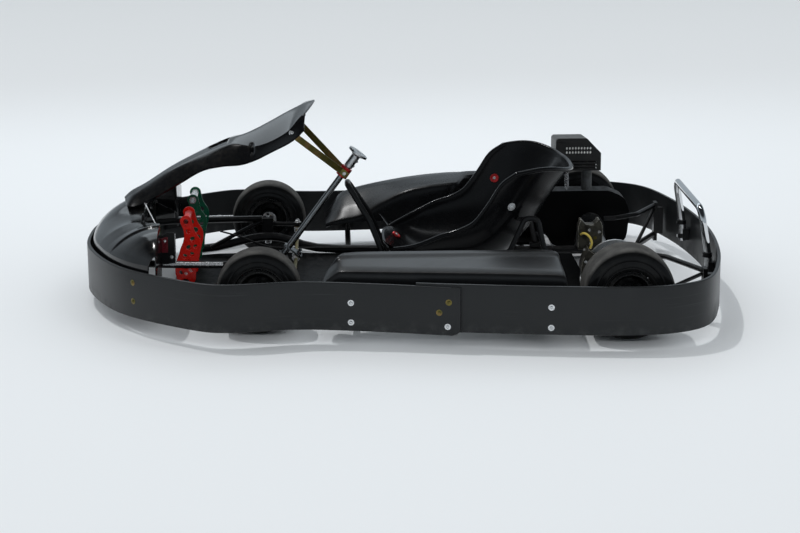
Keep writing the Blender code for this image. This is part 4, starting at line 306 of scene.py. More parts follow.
def tyre_rubber():
    """Slick rubber: a dusty grey tread with fine turning lines, and smooth darker walls."""
    p = Paint("tyre_rubber", specular_ior_level=0.16)
    wear = p.node("ShaderNodeAttribute", {"attribute_name": "tread"}, {}, "Fac")
    lines = p.node("ShaderNodeAttribute", {"attribute_name": "across"}, {}, "Fac")
    fine = (lines * 900.0).sine() * 0.5 + 0.5
    grain = p.noise(300.0, 3.0)
    blotch = p.noise(22.0, 4.0, 0.6).rise(0.35, 0.72)
    wall = p.mix(p.noise(30.0, 4.0).rise(0.4, 0.8), (0.0045, 0.0047, 0.0050), (0.0095, 0.0096, 0.0095))
    tread = p.mix(blotch, (0.040, 0.039, 0.037), (0.085, 0.083, 0.078))
    height = wear * (fine * 0.35 + grain * 0.7 + p.noise(80.0) * 0.8) + (1 - wear) * grain * 0.2
    return p.feed(base_color=p.mix(wear, wall, tread), roughness=0.20 + wear * 0.55 + blotch * 0.06,
                  normal=p.bump(height, 0.0005, 0.55))


def rim_paint():
    """Black paint on a pressed rim, with brake dust in its corners."""
    p = Paint("rim_paint", specular_ior_level=0.36)
    grime = p.noise(38.0, 5.0, 0.65).rise(0.46, 0.74)
    colour = p.mix(grime * 0.4, (0.0055, 0.0057, 0.0062), (0.036, 0.034, 0.031))
    return p.feed(base_color=colour, roughness=0.26 + grime * 0.30,
                  normal=p.bump(p.noise(500.0, 2.0), 0.0002, 0.4, p.rounded(0.001)))


def bare_steel(name="bare_steel", base=(0.36, 0.355, 0.35), rough=0.30, stretch=(30, 900, 900)):
    """Machined steel: fine drawn lines, a grey oxide haze and darker handling marks."""
    p = Paint(name, metallic=1.0)
    drawn = p.noise(1.0, 3.0, 0.5, p.at(stretch))
    haze = p.noise(26.0, 5.0, 0.6).rise(0.38, 0.76)
    colour = p.mix(haze * 0.55, base, tuple(c * 0.55 for c in base))
    return p.feed(base_color=colour, roughness=rough + haze * 0.16 + drawn * 0.10,
                  normal=p.bump(drawn, 0.00015, 0.6, p.rounded(0.0008)))


def chrome_plate():
    """Bright chrome with faint finger smears."""
    p = Paint("chrome_plate", metallic=1.0)
    smear = p.noise(24.0, 5.0, 0.6).rise(0.45, 0.75)
    colour = p.mix(smear * 0.4, (0.72, 0.73, 0.74), (0.52, 0.53, 0.54))
    return p.feed(base_color=colour, roughness=0.07 + smear * 0.14, normal=p.bump(p.noise(60.0), 0.0002, 0.3))


def turned_aluminium():
    """Aluminium turned on a lathe: rings along the column's axis and a soft grey bloom."""
    p = Paint("turned_aluminium", metallic=1.0)
    along = p.part(2, p.at((1, 1, 1), (0, COLUMN_TILT, 0)))
    rings = (along * 9000.0).sine() * 0.5 + 0.5
    bloom = p.noise(55.0, 4.0).rise(0.40, 0.75)
    colour = p.mix(bloom * 0.5, (0.62, 0.63, 0.64), (0.46, 0.47, 0.48))
    return p.feed(base_color=colour, roughness=0.26 + bloom * 0.18,
                  normal=p.bump(rings, 0.00006, 0.5, p.rounded(0.0007)))


def yellow_zinc():
    """Yellow passivated zinc: straw to pink and green clouds over a drawn steel strip, dull where handled."""
    p = Paint("yellow_zinc")
    tint = p.ramp(p.noise(34.0, 3.0, 0.5), (0.30, (0.105, 0.098, 0.026)), (0.48, (0.150, 0.128, 0.030)),
                  (0.62, (0.24, 0.150, 0.055)), (0.78, (0.100, 0.125, 0.035)))
    dull = p.noise(90.0, 4.0).rise(0.45, 0.75)
    colour = p.mix(dull * 0.5, tint, (0.050, 0.044, 0.020))
    return p.feed(base_color=colour, metallic=0.70 - dull * 0.35, roughness=0.30 + dull * 0.25,
                  normal=p.bump(p.noise(260.0, 3.0), 0.0002, 0.5, p.rounded(0.0006)))


def worn_paint(name, base, shade):
    """Pedal paint: a little orange peel, rubbed darker on the flats and bare metal along worn edges."""
    p = Paint(name, specular_ior_level=0.3)
    rub = p.noise(30.0, 5.0, 0.6).rise(0.40, 0.72)
    bare = p.edge(0.0012) * p.noise(90.0, 4.0).rise(0.50, 0.60)
    colour = p.mix(rub * 0.55, base, shade)
    colour = p.mix(bare * 0.8, colour, (0.30, 0.29, 0.28))
    return p.feed(base_color=colour, roughness=0.26 + rub * 0.16, metallic=bare * 0.7,
                  normal=p.bump(p.noise(300.0), 0.0002, 0.4, p.rounded(0.0010)))


def red_anodised():
    """Red anodised aluminium with a satin bloom and pale worn edges."""
    p = Paint("anodised_red")
    bloom = p.noise(60.0, 4.0).rise(0.4, 0.75)
    worn = p.edge(0.0010) * p.noise(110.0).rise(0.45, 0.60)
    colour = p.mix(bloom * 0.4, (0.52, 0.028, 0.030), (0.33, 0.016, 0.020))
    colour = p.mix(worn * 0.7, colour, (0.62, 0.42, 0.40))
    return p.feed(base_color=colour, metallic=0.72, roughness=0.27 + bloom * 0.15,
                  normal=p.bump(p.noise(700.0), 0.0001, 0.4, p.rounded(0.0010)))


def rough_casting(name="rough_casting", base=(0.085, 0.090, 0.092), deep=(0.034, 0.032, 0.029), metal=0.62,
                  worn_edge_highlight_colour=(0.42, 0.40, 0.36), corner=0.0022):
    """Sand cast metal: a pitted skin, oily brown in its hollows and light along its edges, partly rubbed
    metal and partly a painted highlight.
    """
    p = Paint(name)
    pits = p.noise(240.0, 4.0, 0.7)
    oil = p.noise(30.0, 5.0, 0.65).rise(0.38, 0.70)
    # worn metal and painted highlight: the edges are lightened in colour as well as made more metallic
    bright = p.edge(corner) * p.noise(70.0).rise(0.42, 0.60)
    colour = p.mix(oil, base, deep)
    colour = p.mix(bright * 0.8, colour, worn_edge_highlight_colour)
    return p.feed(base_color=colour, metallic=metal + bright * 0.25,
                  roughness=0.44 - bright * 0.12 + pits * 0.14,
                  normal=p.bump(pits, 0.0007, 0.6, p.rounded(0.0018)))


def engine_paint():
    """Heat proof satin black, dulled by dust and oil."""
    p = Paint("engine_paint", specular_ior_level=0.30)
    grime = p.noise(34.0, 5.0, 0.68).rise(0.40, 0.76)
    dust = p.upward().rise(0.2, 0.9) * p.noise(70.0, 5.0).rise(0.38, 0.72)
    worn = p.edge(0.0014) * p.noise(100.0).rise(0.55, 0.66)
    colour = p.mix(grime * 0.5, (0.0080, 0.0080, 0.0084), (0.024, 0.023, 0.021))
    colour = p.mix(dust * 0.10, colour, (0.27, 0.25, 0.23))
    colour = p.mix(worn * 0.6, colour, (0.24, 0.24, 0.23))
    return p.feed(base_color=colour, roughness=0.38 + grime * 0.18 + dust * 0.16,
                  normal=p.bump(p.noise(320.0, 3.0), 0.0003, 0.5, p.rounded(0.0012)))


def yellow_hose():
    """Yellow hose with a fine braid that shows as a slight ripple."""
    p = Paint("yellow_hose", specular_ior_level=0.5)
    ripple = p.cells(900.0)
    grime = p.noise(90.0, 4.0).rise(0.42, 0.72)
    colour = p.mix(grime * 0.5, (0.60, 0.46, 0.085), (0.30, 0.22, 0.060))
    return p.feed(base_color=colour, roughness=0.34 + grime * 0.2, normal=p.bump(ripple, 0.0003, 0.5))


def bright_zinc():
    """Clear zinc plate on bolts and washers, with a white bloom."""
    p = Paint("bright_zinc", metallic=0.72)
    bloom = p.noise(160.0, 4.0).rise(0.42, 0.74)
    colour = p.mix(bloom * 0.6, (0.74, 0.75, 0.76), (0.46, 0.47, 0.48))
    return p.feed(base_color=colour, roughness=0.22 + bloom * 0.20, normal=p.bump(bloom, 0.0001, 0.5))


def chain_steel():
    """Oiled dark steel of the chain and sprockets."""
    p = Paint("chain_steel")
    oil = p.noise(80.0, 5.0).rise(0.40, 0.70)
    colour = p.mix(oil, (0.22, 0.21, 0.20), (0.040, 0.036, 0.032))
    return p.feed(base_color=colour, metallic=0.9, roughness=0.26 + oil * 0.26,
                  normal=p.bump(p.noise(300.0), 0.0002, 0.5, p.rounded(0.0008)))


def pale_floor():
    """A plain pale floor whose colour is darkened a touch behind the kart: painted shade where the light
    falls off.
    """
    p = Paint("pale_floor", specular_ior_level=0.25)
    # painted shade: the floor's colour darkens behind the kart, where the light falls off
    falloff_shade = p.part(1).rise(-2.0, -12.0)
    colour = p.mix(falloff_shade * 0.50, (0.80, 0.822, 0.838), (0.61, 0.645, 0.655))
    return p.feed(base_color=colour, roughness=0.62 + p.noise(3.0) * 0.05)


# Curves and surfaces

def smooth(knots, per_span, before=None, after=None):
    """A curve, or a sheet of curves, through all knots. Between knots b and c, with a before and d after
    them, the point at t is half of 2b + (c - a)t + (2a - 5b + 4c - d)t^2 + (3b - a - 3c + d)t^3."""
    k = np.asarray(knots, float)
    first = 2 * k[0] - k[1] if before is None else np.asarray(before, float)
    last = 2 * k[-1] - k[-2] if after is None else np.asarray(after, float)
    k = np.concatenate([first[None], k, last[None]])
    a, b, c, d = (k[i:len(k) - 3 + i, None] for i in range(4))
    t = np.linspace(0, 1, per_span, endpoint=False).reshape((1, -1) + (1,) * (k.ndim - 1))
    second = (2 * a - 5 * b + 4 * c - d) * t ** 2
    third = (3 * b - a - 3 * c + d) * t ** 3
    curve = 0.5 * (2 * b + (c - a) * t + second + third)
    return np.concatenate([curve.reshape((-1,) + k.shape[1:]), k[-2:-1]])


def rounded(corners, radius, steps):
    """Straight runs joined by arcs of one radius; each arc turns between the two runs' directions."""
    corners = np.asarray(corners, float)
    path = [corners[:1]]
    t = np.linspace(0, 1, steps + 1)[:, None]
    for a, b, c in zip(corners, corners[1:], corners[2:]):
        back, ahead = (a - b) / np.linalg.norm(a - b), (c - b) / np.linalg.norm(c - b)
        half = math.acos(np.clip(back @ ahead, -1, 1)) / 2
        middle = back + ahead
        centre = b + middle / np.linalg.norm(middle) * radius / math.sin(half)
        start, end = (b + way * radius / math.tan(half) - centre for way in (back, ahead))
        turn = math.pi - 2 * half
        path.append(centre + (start * np.sin((1 - t) * turn) + end * np.sin(t * turn)) / math.sin(turn))
    return np.concatenate(path + [corners[-1:]])


def across(axis):
    """An axis of length one, and two directions square to it and to each other."""
    axis = np.asarray(axis, float) / np.linalg.norm(axis)
    side = np.cross(axis, np.eye(3)[np.argmin(np.abs(axis))])
    side /= np.linalg.norm(side)
    return axis, side, np.cross(axis, side)


class Piece:
    """The points and faces of one piece, gathered from its surfaces."""

    def __init__(self):
        self.points = []
        self.faces = []
        self.marks = {}
        self.count = 0

    def grid(self, points, around=False, along=False, ends=False, **marks):
        """Adds a grid of quads. around closes the rows on themselves, along joins the last row to the first,
        and ends fills the first and last row."""
        rows, columns = points.shape[:2]
        i, j = np.meshgrid(np.arange(rows - (not along)), np.arange(columns - (not around)), indexing="ij")
        k, m = (i + 1) % rows, (j + 1) % columns
        quads = [i * columns + j, k * columns + j, k * columns + m, i * columns + m]
        faces = (np.stack(quads, -1).reshape(-1, 4) + self.count).tolist()
        if ends:
            faces.append((np.arange(columns)[::-1] + self.count).tolist())
            faces.append((np.arange(columns) + (rows - 1) * columns + self.count).tolist())
        self.faces += faces
        self.points.append(points.reshape(-1, 3))
        for key, value in marks.items():
            self.marks.setdefault(key, []).append(np.broadcast_to(value, (rows, columns)).reshape(-1))
        self.count += rows * columns
        return self

    def sheet(self, outline, holes, thickness, corner, along, up):
        """A flat sheet with holes. Its loops are drawn in its own plane, filled as one flat curve that is
        given the thickness, and laid out from a corner along two directions."""
        curve = bpy.data.curves.new("sheet", "CURVE")
        curve.dimensions, curve.fill_mode, curve.extrude = "2D", "BOTH", thickness / 2
        for loop in (outline, *holes):
            loop = np.asarray(loop, float)
            line = curve.splines.new("POLY")
            line.points.add(len(loop) - 1)
            flat = np.column_stack([loop, np.zeros(len(loop)), np.ones(len(loop))])
            line.points.foreach_set("co", flat.ravel())
            line.use_cyclic_u = True
        item = bpy.data.objects.new("sheet", curve)
        mesh = bpy.data.meshes.new_from_object(item)
        flat = np.empty(len(mesh.vertices) * 3, np.float32)
        mesh.vertices.foreach_get("co", flat)
        corners = np.empty(len(mesh.loops), np.int32)
        mesh.loops.foreach_get("vertex_index", corners)
        starts = np.empty(len(mesh.polygons), np.int32)
        mesh.polygons.foreach_get("loop_start", starts)
        bpy.data.objects.remove(item)
        bpy.data.curves.remove(curve)
        bpy.data.meshes.remove(mesh)
        plane = np.stack([along, up, np.cross(along, up)]).astype(float)
        self.points.append(np.asarray(corner, float) + flat.reshape(-1, 3) @ plane)
        self.faces += [(face + self.count).tolist() for face in np.split(corners, starts[1:])]
        self.count += len(self.points[-1])
        return self

    def upright(self, outline, holes, thickness, y):
        """A flat sheet that stands along the kart at a distance y from its middle."""
        return self.sheet(outline, holes, thickness, LEFT * y, (1, 0, 0), (0, 0, 1))

    def tube(self, path, radius, sides):
        """A round bar: at each point of the path a ring of that radius, square to the path's direction. The
        ring starts from the cross product with the axis that the path runs along least."""
        path = np.asarray(path, float)
        ahead = np.gradient(path, axis=0)
        ahead /= np.linalg.norm(ahead, axis=1)[:, None]
        side = np.cross(ahead, np.eye(3)[np.argmin(np.abs(ahead).max(0))])
        side /= np.linalg.norm(side, axis=1)[:, None]
        lift = np.cross(ahead, side)
        turn = np.linspace(0, 2 * math.pi, sides, endpoint=False)[None, :, None]
        ring = radius * (np.cos(turn) * side[:, None] + np.sin(turn) * lift[:, None])
        return self.grid(path[:, None] + ring, around=True, ends=True)

    def lathe(self, profile, centre, axis, segments, ring=False, **marks):
        """A profile of (radius, height) points turned about an axis through a centre. ring closes the profile
        on itself; else it starts and ends on the axis."""
        axis, side, lift = across(axis)
        profile = np.asarray(profile, float)
        turn = np.linspace(0, 2 * math.pi, segments, endpoint=False)[:, None, None]
        spoke = np.cos(turn) * side + np.sin(turn) * lift
        points = np.asarray(centre, float) + spoke * profile[None, :, :1] + axis * profile[None, :, 1:]
        marks = {key: np.asarray(value)[None, :] for key, value in marks.items()}
        return self.grid(points, around=ring, along=True, **marks)

    def make(self, name, finish, body, replaces=(), wall=None, sharp=35, bevel=None):
        """Makes the object. wall gives a skin its thickness, sharp is the angle from which an edge stays
        crisp, and bevel eases such edges."""
        mesh = bpy.data.meshes.new(name)
        mesh.from_pydata(np.concatenate(self.points).tolist(), [], self.faces)
        for key, value in self.marks.items():
            attribute = mesh.attributes.new(key, "FLOAT", "POINT")
            attribute.data.foreach_set("value", np.concatenate(value).astype(np.float32))
        joined = bmesh.new()
        joined.from_mesh(mesh)
        bmesh.ops.remove_doubles(joined, verts=joined.verts, dist=1e-6)
        bmesh.ops.recalc_face_normals(joined, faces=joined.faces)
        joined.to_mesh(mesh)
        joined.free()
        mesh.shade_smooth()
        mesh.set_sharp_from_angle(angle=math.radians(sharp))
        mesh.materials.append(finish)
        item = bpy.data.objects.new(name, mesh)
        bpy.context.scene.collection.objects.link(item)
        if wall:
            skin = item.modifiers.new("wall", "SOLIDIFY")
            skin.thickness = wall
            skin.offset = 0.0
            skin.use_even_offset = True
        if bevel:
            ease = item.modifiers.new("ease", "BEVEL")
            ease.width = bevel
            ease.segments = 2
            ease.limit_method = "ANGLE"
            ease.angle_limit = math.radians(50)
        if body:
            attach(item, body)
        if replaces:
            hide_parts(*replaces)
        return item


def prism(shape, outline, low, high, axis):
    """A flat outline carried from low to high along the x or the z axis."""
    outline = np.asarray(outline, float)
    order = {"x": (2, 0, 1), "z": (0, 1, 2)}[axis]
    levels = [np.column_stack([outline, np.full(len(outline), level)])[:, order] for level in (low, high)]
    shape.grid(np.stack(levels), around=True, ends=True)


def ring_section(inner, outer, low, high, cut=0.0006, drop=0.0006):
    """The section of a short tube. Its outer corners are eased by cut inwards and by drop along the axis."""
    return ((inner, low), (outer - cut, low), (outer, low + drop), (outer, high - drop), (outer - cut, high),
            (inner, high))


def bolt(shape, place, axis, size, kind, washer, depth=1.0):
    """A washer and a head on a face, turned about the axis: button heads are domes with a socket, hex heads
    and nuts have six flats, and lock nuts twelve. size is the thread's diameter."""
    base = 0.0
    if washer:
        wide, base = size * washer / 1.6, size * 0.22
        rim = ((wide, 0.0), (wide, base * 0.7), (wide * 0.94, base))
        shape.lathe(((0.0, 0.0), *rim, (0.0, base)), place, axis, 24)
    h = size * 0.55 * depth
    if kind == "button":
        r, socket = size * 0.90, size * 0.34
        angles = np.linspace(0, math.pi / 2, 7)
        dome = [(r * math.cos(v) ** 0.6, base + h * math.sin(v)) for v in angles]
        dome = [point for point in dome if point[0] > socket]
        shape.lathe([(0.0, base), (r, base), *dome, (socket, base + h), (socket, base + h * 0.35),
                     (0.0, base + h * 0.30)], place, axis, 24)
        return
    r = size * 0.98
    if kind == "hex":
        shape.lathe(((0.0, base), (r, base), (r, base + h), (r * 0.86, base + h * 1.25),
                     (0.0, base + h * 1.25)), place, axis, 6)
        return
    thread = size * 0.5
    shape.lathe(((0.0, base), (r, base), (r, base + h * 1.3), (r * 0.84, base + h * 1.5),
                 (thread, base + h * 1.5), (thread, base + h * 2.3), (size * 0.40, base + h * 2.5),
                 (0.0, base + h * 2.5)), place, axis, 12 if kind == "lock" else 6)


def circle(x, y, radius, count=20):
    """A loop of points round a place in a plane."""
    turn = np.linspace(0, 2 * math.pi, count, endpoint=False)
    return np.column_stack([x + radius * np.cos(turn), y + radius * np.sin(turn)])


def slot_loop(x, y, length, height):
    """A level slot with round ends."""
    r = height / 2
    turn = np.linspace(-math.pi / 2, math.pi / 2, 6)
    right = np.column_stack([x + length / 2 - r + r * np.cos(turn), y + r * np.sin(turn)])
    return np.concatenate([right, (x * 2, y * 2) - right])


def face_at(grid, place):
    """The point of a surface that is nearest to a place, and the direction square to the surface there."""
    i, j = np.unravel_index(np.argmin(((grid - np.asarray(place)) ** 2).sum(-1)), grid.shape[:2])
    i, j = min(max(i, 1), grid.shape[0] - 2), min(max(j, 1), grid.shape[1] - 2)
    square = np.cross(grid[i + 1, j] - grid[i - 1, j], grid[i, j + 1] - grid[i, j - 1])
    return grid[i, j], square / np.linalg.norm(square)


# Camera, floor and light

def put(data, name):
    """A new object in the scene."""
    item = bpy.data.objects.new(name, data)
    bpy.context.scene.collection.objects.link(item)
    return item


def photo_camera():
    """The photograph's viewing angle: from the driver's left, a little ahead of the middle and above."""
    ahead = Vector((math.sin(CAMERA_YAW) * math.cos(CAMERA_PITCH),
                    -math.cos(CAMERA_YAW) * math.cos(CAMERA_PITCH), -math.sin(CAMERA_PITCH)))
    right = ahead.cross(Vector((0, 0, 1))).normalized()
    lift = right.cross(ahead)
    r = right * math.cos(CAMERA_ROLL) + lift * math.sin(CAMERA_ROLL)
    u = -right * math.sin(CAMERA_ROLL) + lift * math.cos(CAMERA_ROLL)
    x, y, z = CAMERA_PLACE
    data = bpy.data.cameras.new("camera")
    data.sensor_width = SENSOR_WIDTH
    data.lens = FOCAL_PIXELS / PICTURE_WIDTH * SENSOR_WIDTH
    item = put(data, "camera")
    item.matrix_world = Matrix(((r.x, u.x, -ahead.x, x), (r.y, u.y, -ahead.y, y), (r.z, u.z, -ahead.z, z),
                                (0, 0, 0, 1)))
    bpy.context.scene.camera = item


def aim(item, place, target):
    """Turns a light from its place towards a target."""
    item.rotation_euler = (Vector(target) - Vector(place)).to_track_quat("-Z", "Y").to_euler()


def area_light(name, place, target, size, power, colour):
    data = bpy.data.lights.new(name, "AREA")
    data.shape = "RECTANGLE"
    data.size, data.size_y = size
    data.energy = power
    data.color = colour
    item = put(data, name)
    item.location = place
    aim(item, place, target)
    return item


def stage():
    """A plain pale floor under a dark room with a pale horizon, a hard key light from behind on the nose's
    side, and broad soft lights; the overhead one brightens the floor without showing in the bodywork."""
    x, y = np.meshgrid(np.linspace(-60, 60, 3), np.linspace(-90, 30, 3), indexing="ij")
    floor = Piece().grid(np.stack([x, y, 0 * x], -1))
    floor.make("floor", pale_floor(), None)
    world = bpy.data.worlds.new("room")
    world.use_nodes = True
    nodes, links = world.node_tree.nodes, world.node_tree.links
    place = nodes.new("ShaderNodeTexCoord")
    split = nodes.new("ShaderNodeSeparateXYZ")
    ramp = nodes.new("ShaderNodeValToRGB")
    horizon, ceiling = ramp.color_ramp.elements
    horizon.position, ceiling.position = 0.30, 0.60
    horizon.color = (0.37, 0.42, 0.46, 1)
    ceiling.color = (0.020, 0.023, 0.026, 1)
    links.new(place.outputs["Generated"], split.inputs[0])
    links.new(split.outputs[2], ramp.inputs[0])
    links.new(ramp.outputs[0], nodes["Background"].inputs[0])
    bpy.context.scene.world = world
    sun = bpy.data.lights.new("key", "SUN")
    sun.energy = 0.78
    sun.angle = math.radians(1.2)
    aim(put(sun, "key"), (0.75, -1.0, 2.3), (0, 0, 0))
    overhead = area_light("overhead", (0.0, -16.0, 9.0), (0, -16.0, 0.0), (90.0, 90.0), 16900,
                          (0.972, 0.985, 0.995))
    overhead.visible_glossy = False
    area_light("long_strip", (-0.4, -0.5, 3.4), (0, 0.5, 0.2), (2.4, 0.22), 6, (0.93, 0.97, 1.0))
    area_light("rear_softbox", (0.3, -3.0, 2.6), (0.1, 0.55, 0.2), (4.6, 1.5), 25, (0.84, 0.93, 1.0))
    bpy.context.scene.view_settings.view_transform = "Standard"


# Bumper bands

def band_plan():
    """The band's wall line in plan, from the nose round the left side to the tail."""
    half = np.array([(LENGTH / 2 * x, WIDTH / 2 * y, 0.0) for x, y in BAND_PLAN])
    return smooth(half, 18, half[1] * FLIP, half[-2] * FLIP)


def offset_plan(path, distance):
    """A plan line moved square to itself, outwards on its way to the tail."""
    ahead = np.gradient(path, axis=0)
    ahead[np.abs(path[:, 1]) < 1e-6] = (0, 1, 0)
    if abs(path[-1, 1]) < 1e-6:
        ahead[-1] = (0, -1, 0)
    out = np.column_stack([ahead[:, 1], -ahead[:, 0], np.zeros(len(path))])
    return path + out / np.linalg.norm(out, axis=1)[:, None] * distance


def at_x(path, x):
    """The point where a path passes x on its way to the tail."""
    i = int(np.argmax(path[:, 0] < x))
    t = (path[i - 1, 0] - x) / (path[i - 1, 0] - path[i, 0])
    return path[i - 1] + (path[i] - path[i - 1]) * t


def both_sides(path):
    """A left-hand line that starts on the middle plane, carried round the right side as well."""
    return np.concatenate([(path[1:] * FLIP)[::-1], path])


def band_piece(name, inner, outer, end_chamfer, drop):
    """A wall between two plan lines: an upright section with eased edges, moved along both lines at once. Its
    foot drops by a function of x and rises by the chamfer towards its two ends."""
    low = BAND_LOW - drop(outer[:, 0])
    top = low + BAND_HEIGHT
    step = np.linalg.norm(np.diff(outer, axis=0), axis=1)
    run = np.concatenate([[0], np.cumsum(step)])
    from_end = np.minimum(run, run[-1] - run)
    low = low + end_chamfer * np.clip(1 - from_end / 0.014, 0, 1)
    ease, flat = 0.0026, 0.0006
    turn = np.linspace(0, math.pi / 2, 5)
    section = [(flat, 0.0)]
    section += [(1 - ease / BAND_WALL * (1 - math.sin(v)), ease * (1 - math.cos(v))) for v in turn]
    share = np.array([s for s, _ in section] + [s for s, _ in reversed(section)] + [0.0, 0.0])
    lift = np.array([h for _, h in section] + [-h for _, h in reversed(section)] + [-flat, flat])
    upper = np.array([False] * len(section) + [True] * len(section) + [True, False])
    z = np.where(upper, top[:, None], low[:, None]) + lift
    plan = inner[:, None, :2] + (outer - inner)[:, None, :2] * share[None, :, None]
    grid = np.concatenate([plan, z[..., None]], -1)
    grid[..., 1] = np.clip(grid[..., 1], -WIDTH / 2, WIDTH / 2)
    grid[..., 0] = np.clip(grid[..., 0], -LENGTH / 2, LENGTH / 2)
    Piece().grid(grid, around=True, ends=True).make(name + "_wall", FINISH["band"], "chassis", (name,))


def bands():
    """The front band, which runs outside the line and drops towards its ends, and the rear band inside it."""
    plan = band_plan()
    front = np.concatenate([plan[plan[:, 0] > FRONT_BAND_END + 0.002], [at_x(plan, FRONT_BAND_END)]])
    inner, outer = (both_sides(offset_plan(front, face)) for face in (FRONT_BAND_INSIDE, FRONT_BAND_OUTSIDE))
    band_piece("front_band", inner, outer, 0.014,
               lambda x: 0.008 * np.clip((0.45 - x) / (0.45 - FRONT_BAND_END), 0, 1))
    start = FRONT_BAND_END + BAND_LAP
    rear = np.concatenate([[at_x(plan, start)], plan[plan[:, 0] < start - 0.002]])
    inner, outer = (np.concatenate([p[:-1], (p * FLIP)[::-1]]) for p in (offset_plan(rear, -BAND_WALL), rear))
    band_piece("rear_band", inner, outer, 0.0, lambda x: 0.0 * x)


# Bodywork

def nose_edge(y):
    """The x of the nose's edge at a distance y from the middle: a little inside the band."""
    path = offset_plan(band_plan(), -0.012)
    path = path[path[:, 0] > 0.3]
    return np.interp(np.abs(y), path[:, 1], path[:, 0])


def nose():
    """The nose's skin. At a distance y from the middle it runs from the edge x0 back to x1, and its height
    there is z0 + (crest - z0) sin(share * pi/2)^0.7, with share from 0 at the edge to 1 at the back. The
    outer lobes lie a step lower than the middle."""
    edge_height, crease_at = 0.200, 0.346
    knots = np.array(NOSE_CREST)
    left = smooth(knots, 6, knots[1] * (-1, 1))
    crease = np.array((0.345, 0.347, 0.349, 0.351, 0.353))
    left = np.concatenate([left, np.column_stack([crease, np.interp(crease, left[:, 0], left[:, 1])])])
    left = left[np.argsort(left[:, 0])]
    y, crest = np.concatenate([(left[1:] * (-1, 1))[::-1], left]).T
    reach = np.abs(y)
    front = nose_edge(y)
    rear = np.interp(reach, (0, 0.240, 0.310, 1), (0.800, 0.800, 0.735, 0.735))
    share = np.concatenate([[0, 0.012, 0.03], np.linspace(0.05, 0.985, 24)])
    rise = np.sin(share * math.pi / 2) ** 0.7
    x = front[:, None] + (rear - front)[:, None] * share
    z = edge_height + (crest[:, None] - edge_height) * rise
    skirt_x = front[:, None] + np.array((0.002, 0.0015, 0.001))
    skirt_z = np.broadcast_to(np.array((0.110, 0.150, 0.188)), skirt_x.shape)
    low = crest + np.interp(reach, (0, 0.245, 0.310, 0.345, 1), (-0.040, -0.040, -0.095, -0.155, -0.155))
    low = np.minimum(np.maximum(0.128, low), crest - 0.025)
    back_x = np.broadcast_to(rear[:, None], (len(y), 3))
    back_z = np.stack([crest - 0.010, (crest - 0.010 + low) / 2, low], -1)
    lobe = 0.0055 * np.clip((reach - crease_at) / 0.006, 0, 1) * np.clip((0.52 - reach) / 0.08, 0, 1)
    z = z - lobe[:, None] * np.clip(share / 0.12, 0, 1)
    x = np.concatenate([skirt_x, x, back_x], 1)
    z = np.concatenate([skirt_z, z, back_z], 1)
    grid = np.stack([x, np.broadcast_to(y[:, None], x.shape), z], -1)
    Piece().grid(grid).make("nose_skin", FINISH["gloss"], "chassis", ("nose_fairing",), MOULDED_WALL, 24)


def mirrored(half):
    """Columns that start on the middle plane, carried over to the right side as well."""
    return np.concatenate([(half[:, 1:] * FLIP)[:, ::-1], half], 1)


def eased(grid, *shares):
    """Rounds the corners of every row: again and again each run between two points keeps only its middle
    part."""
    for share in shares:
        a, b = grid[:, :-1], grid[:, 1:]
        inner = np.stack([a + (b - a) * share, b - (b - a) * share], 2).reshape(len(grid), -1, 3)
        grid = np.concatenate([grid[:, :1], inner, grid[:, -1:]], 1)
    return grid


def front_panel():
    """The steering fairing. Across each half the top falls from the middle to the ridge as t^1.2, and the
    side wall goes on from the ridge to the lower edge, where a lip turns in. A sunk window lies on the
    tongue, and a groove parts the tongue's sides from the screen."""
    knots = np.array([((mid[0], 0.0, mid[1]), ridge, edge) for mid, ridge, edge in PANEL_STATIONS])
    knots = smooth(knots, 14)
    mid, ridge, edge = knots[:, :1], knots[:, 1:2], knots[:, 2:]
    t = np.concatenate([np.linspace(0, 0.92, 14), (0.965, 1.0)])[None, :, None]
    top = mid + (ridge - mid) * np.concatenate([t ** 1.3, t, t ** 1.2], 2)
    s = np.concatenate([(0.05,), np.linspace(0.12, 1, 9)])[None, :, None]
    side = ridge + (edge - ridge) * np.concatenate([s, s ** 0.75, s], 2)
    lip = edge + np.array(((-0.001, -0.003, -0.003), (-0.002, -0.008, -0.002)))[None]
    grid = np.concatenate([top, side, lip], 1)
    share = np.concatenate([t, 1 + s, np.full((1, 2, 1), 2.2)], 1)[..., 0]
    x = grid[..., 0]
    window_end, window_start, groove_at = 0.538, 0.606, 0.462
    window = np.clip((x - window_end) / 0.004, 0, 1) * np.clip((window_start - x) / 0.004, 0, 1)
    window = window * np.clip((0.80 - share - (x - window_end) * 2.0) / 0.06, 0, 1)
    groove = np.exp(-((x - groove_at) / 0.0065) ** 2) * np.clip((share - 0.80) / 0.25, 0, 1)
    groove = groove * np.clip((1.75 - share) / 0.5, 0, 1)
    grid[..., 2] -= 0.008 * window + 0.010 * groove
    grid[..., 1] -= 0.010 * groove
    skin = Piece().grid(mirrored(grid))
    skin.make("front_panel_skin", FINISH["gloss"], "chassis", ("front_panel",), 0.004, 15)


def seat_face():
    """The left half of the seat. Across a station the angle a runs from the spine to the rim: x and z go with
    1 - cos a, y with sin a, which gets fuller towards the top, where the shoulders rise by sin 2a sin^2 a."""
    spine, rim = (smooth(np.array(t), 9) for t in (SEAT_SPINE, SEAT_RIM))
    lean = np.clip((np.linspace(0, 1, len(spine))[:, None] - 0.55) / 0.45, 0, 1)
    turn = np.linspace(0, math.pi / 2, SEAT_COLUMNS)[None]
    lift = 1 - np.cos(turn)
    shoulder = 0.026 * lean ** 2 * np.sin(2 * turn) * np.sin(turn) ** 2
    x = spine[:, :1] + (rim[:, :1] - spine[:, :1]) * lift
    y = rim[:, 1:2] * np.sin(turn) ** (1 - 0.2 * lean)
    z = spine[:, 1:] + (rim[:, 2:] - spine[:, 1:]) * lift + shoulder
    return np.stack([x, y, z], -1)


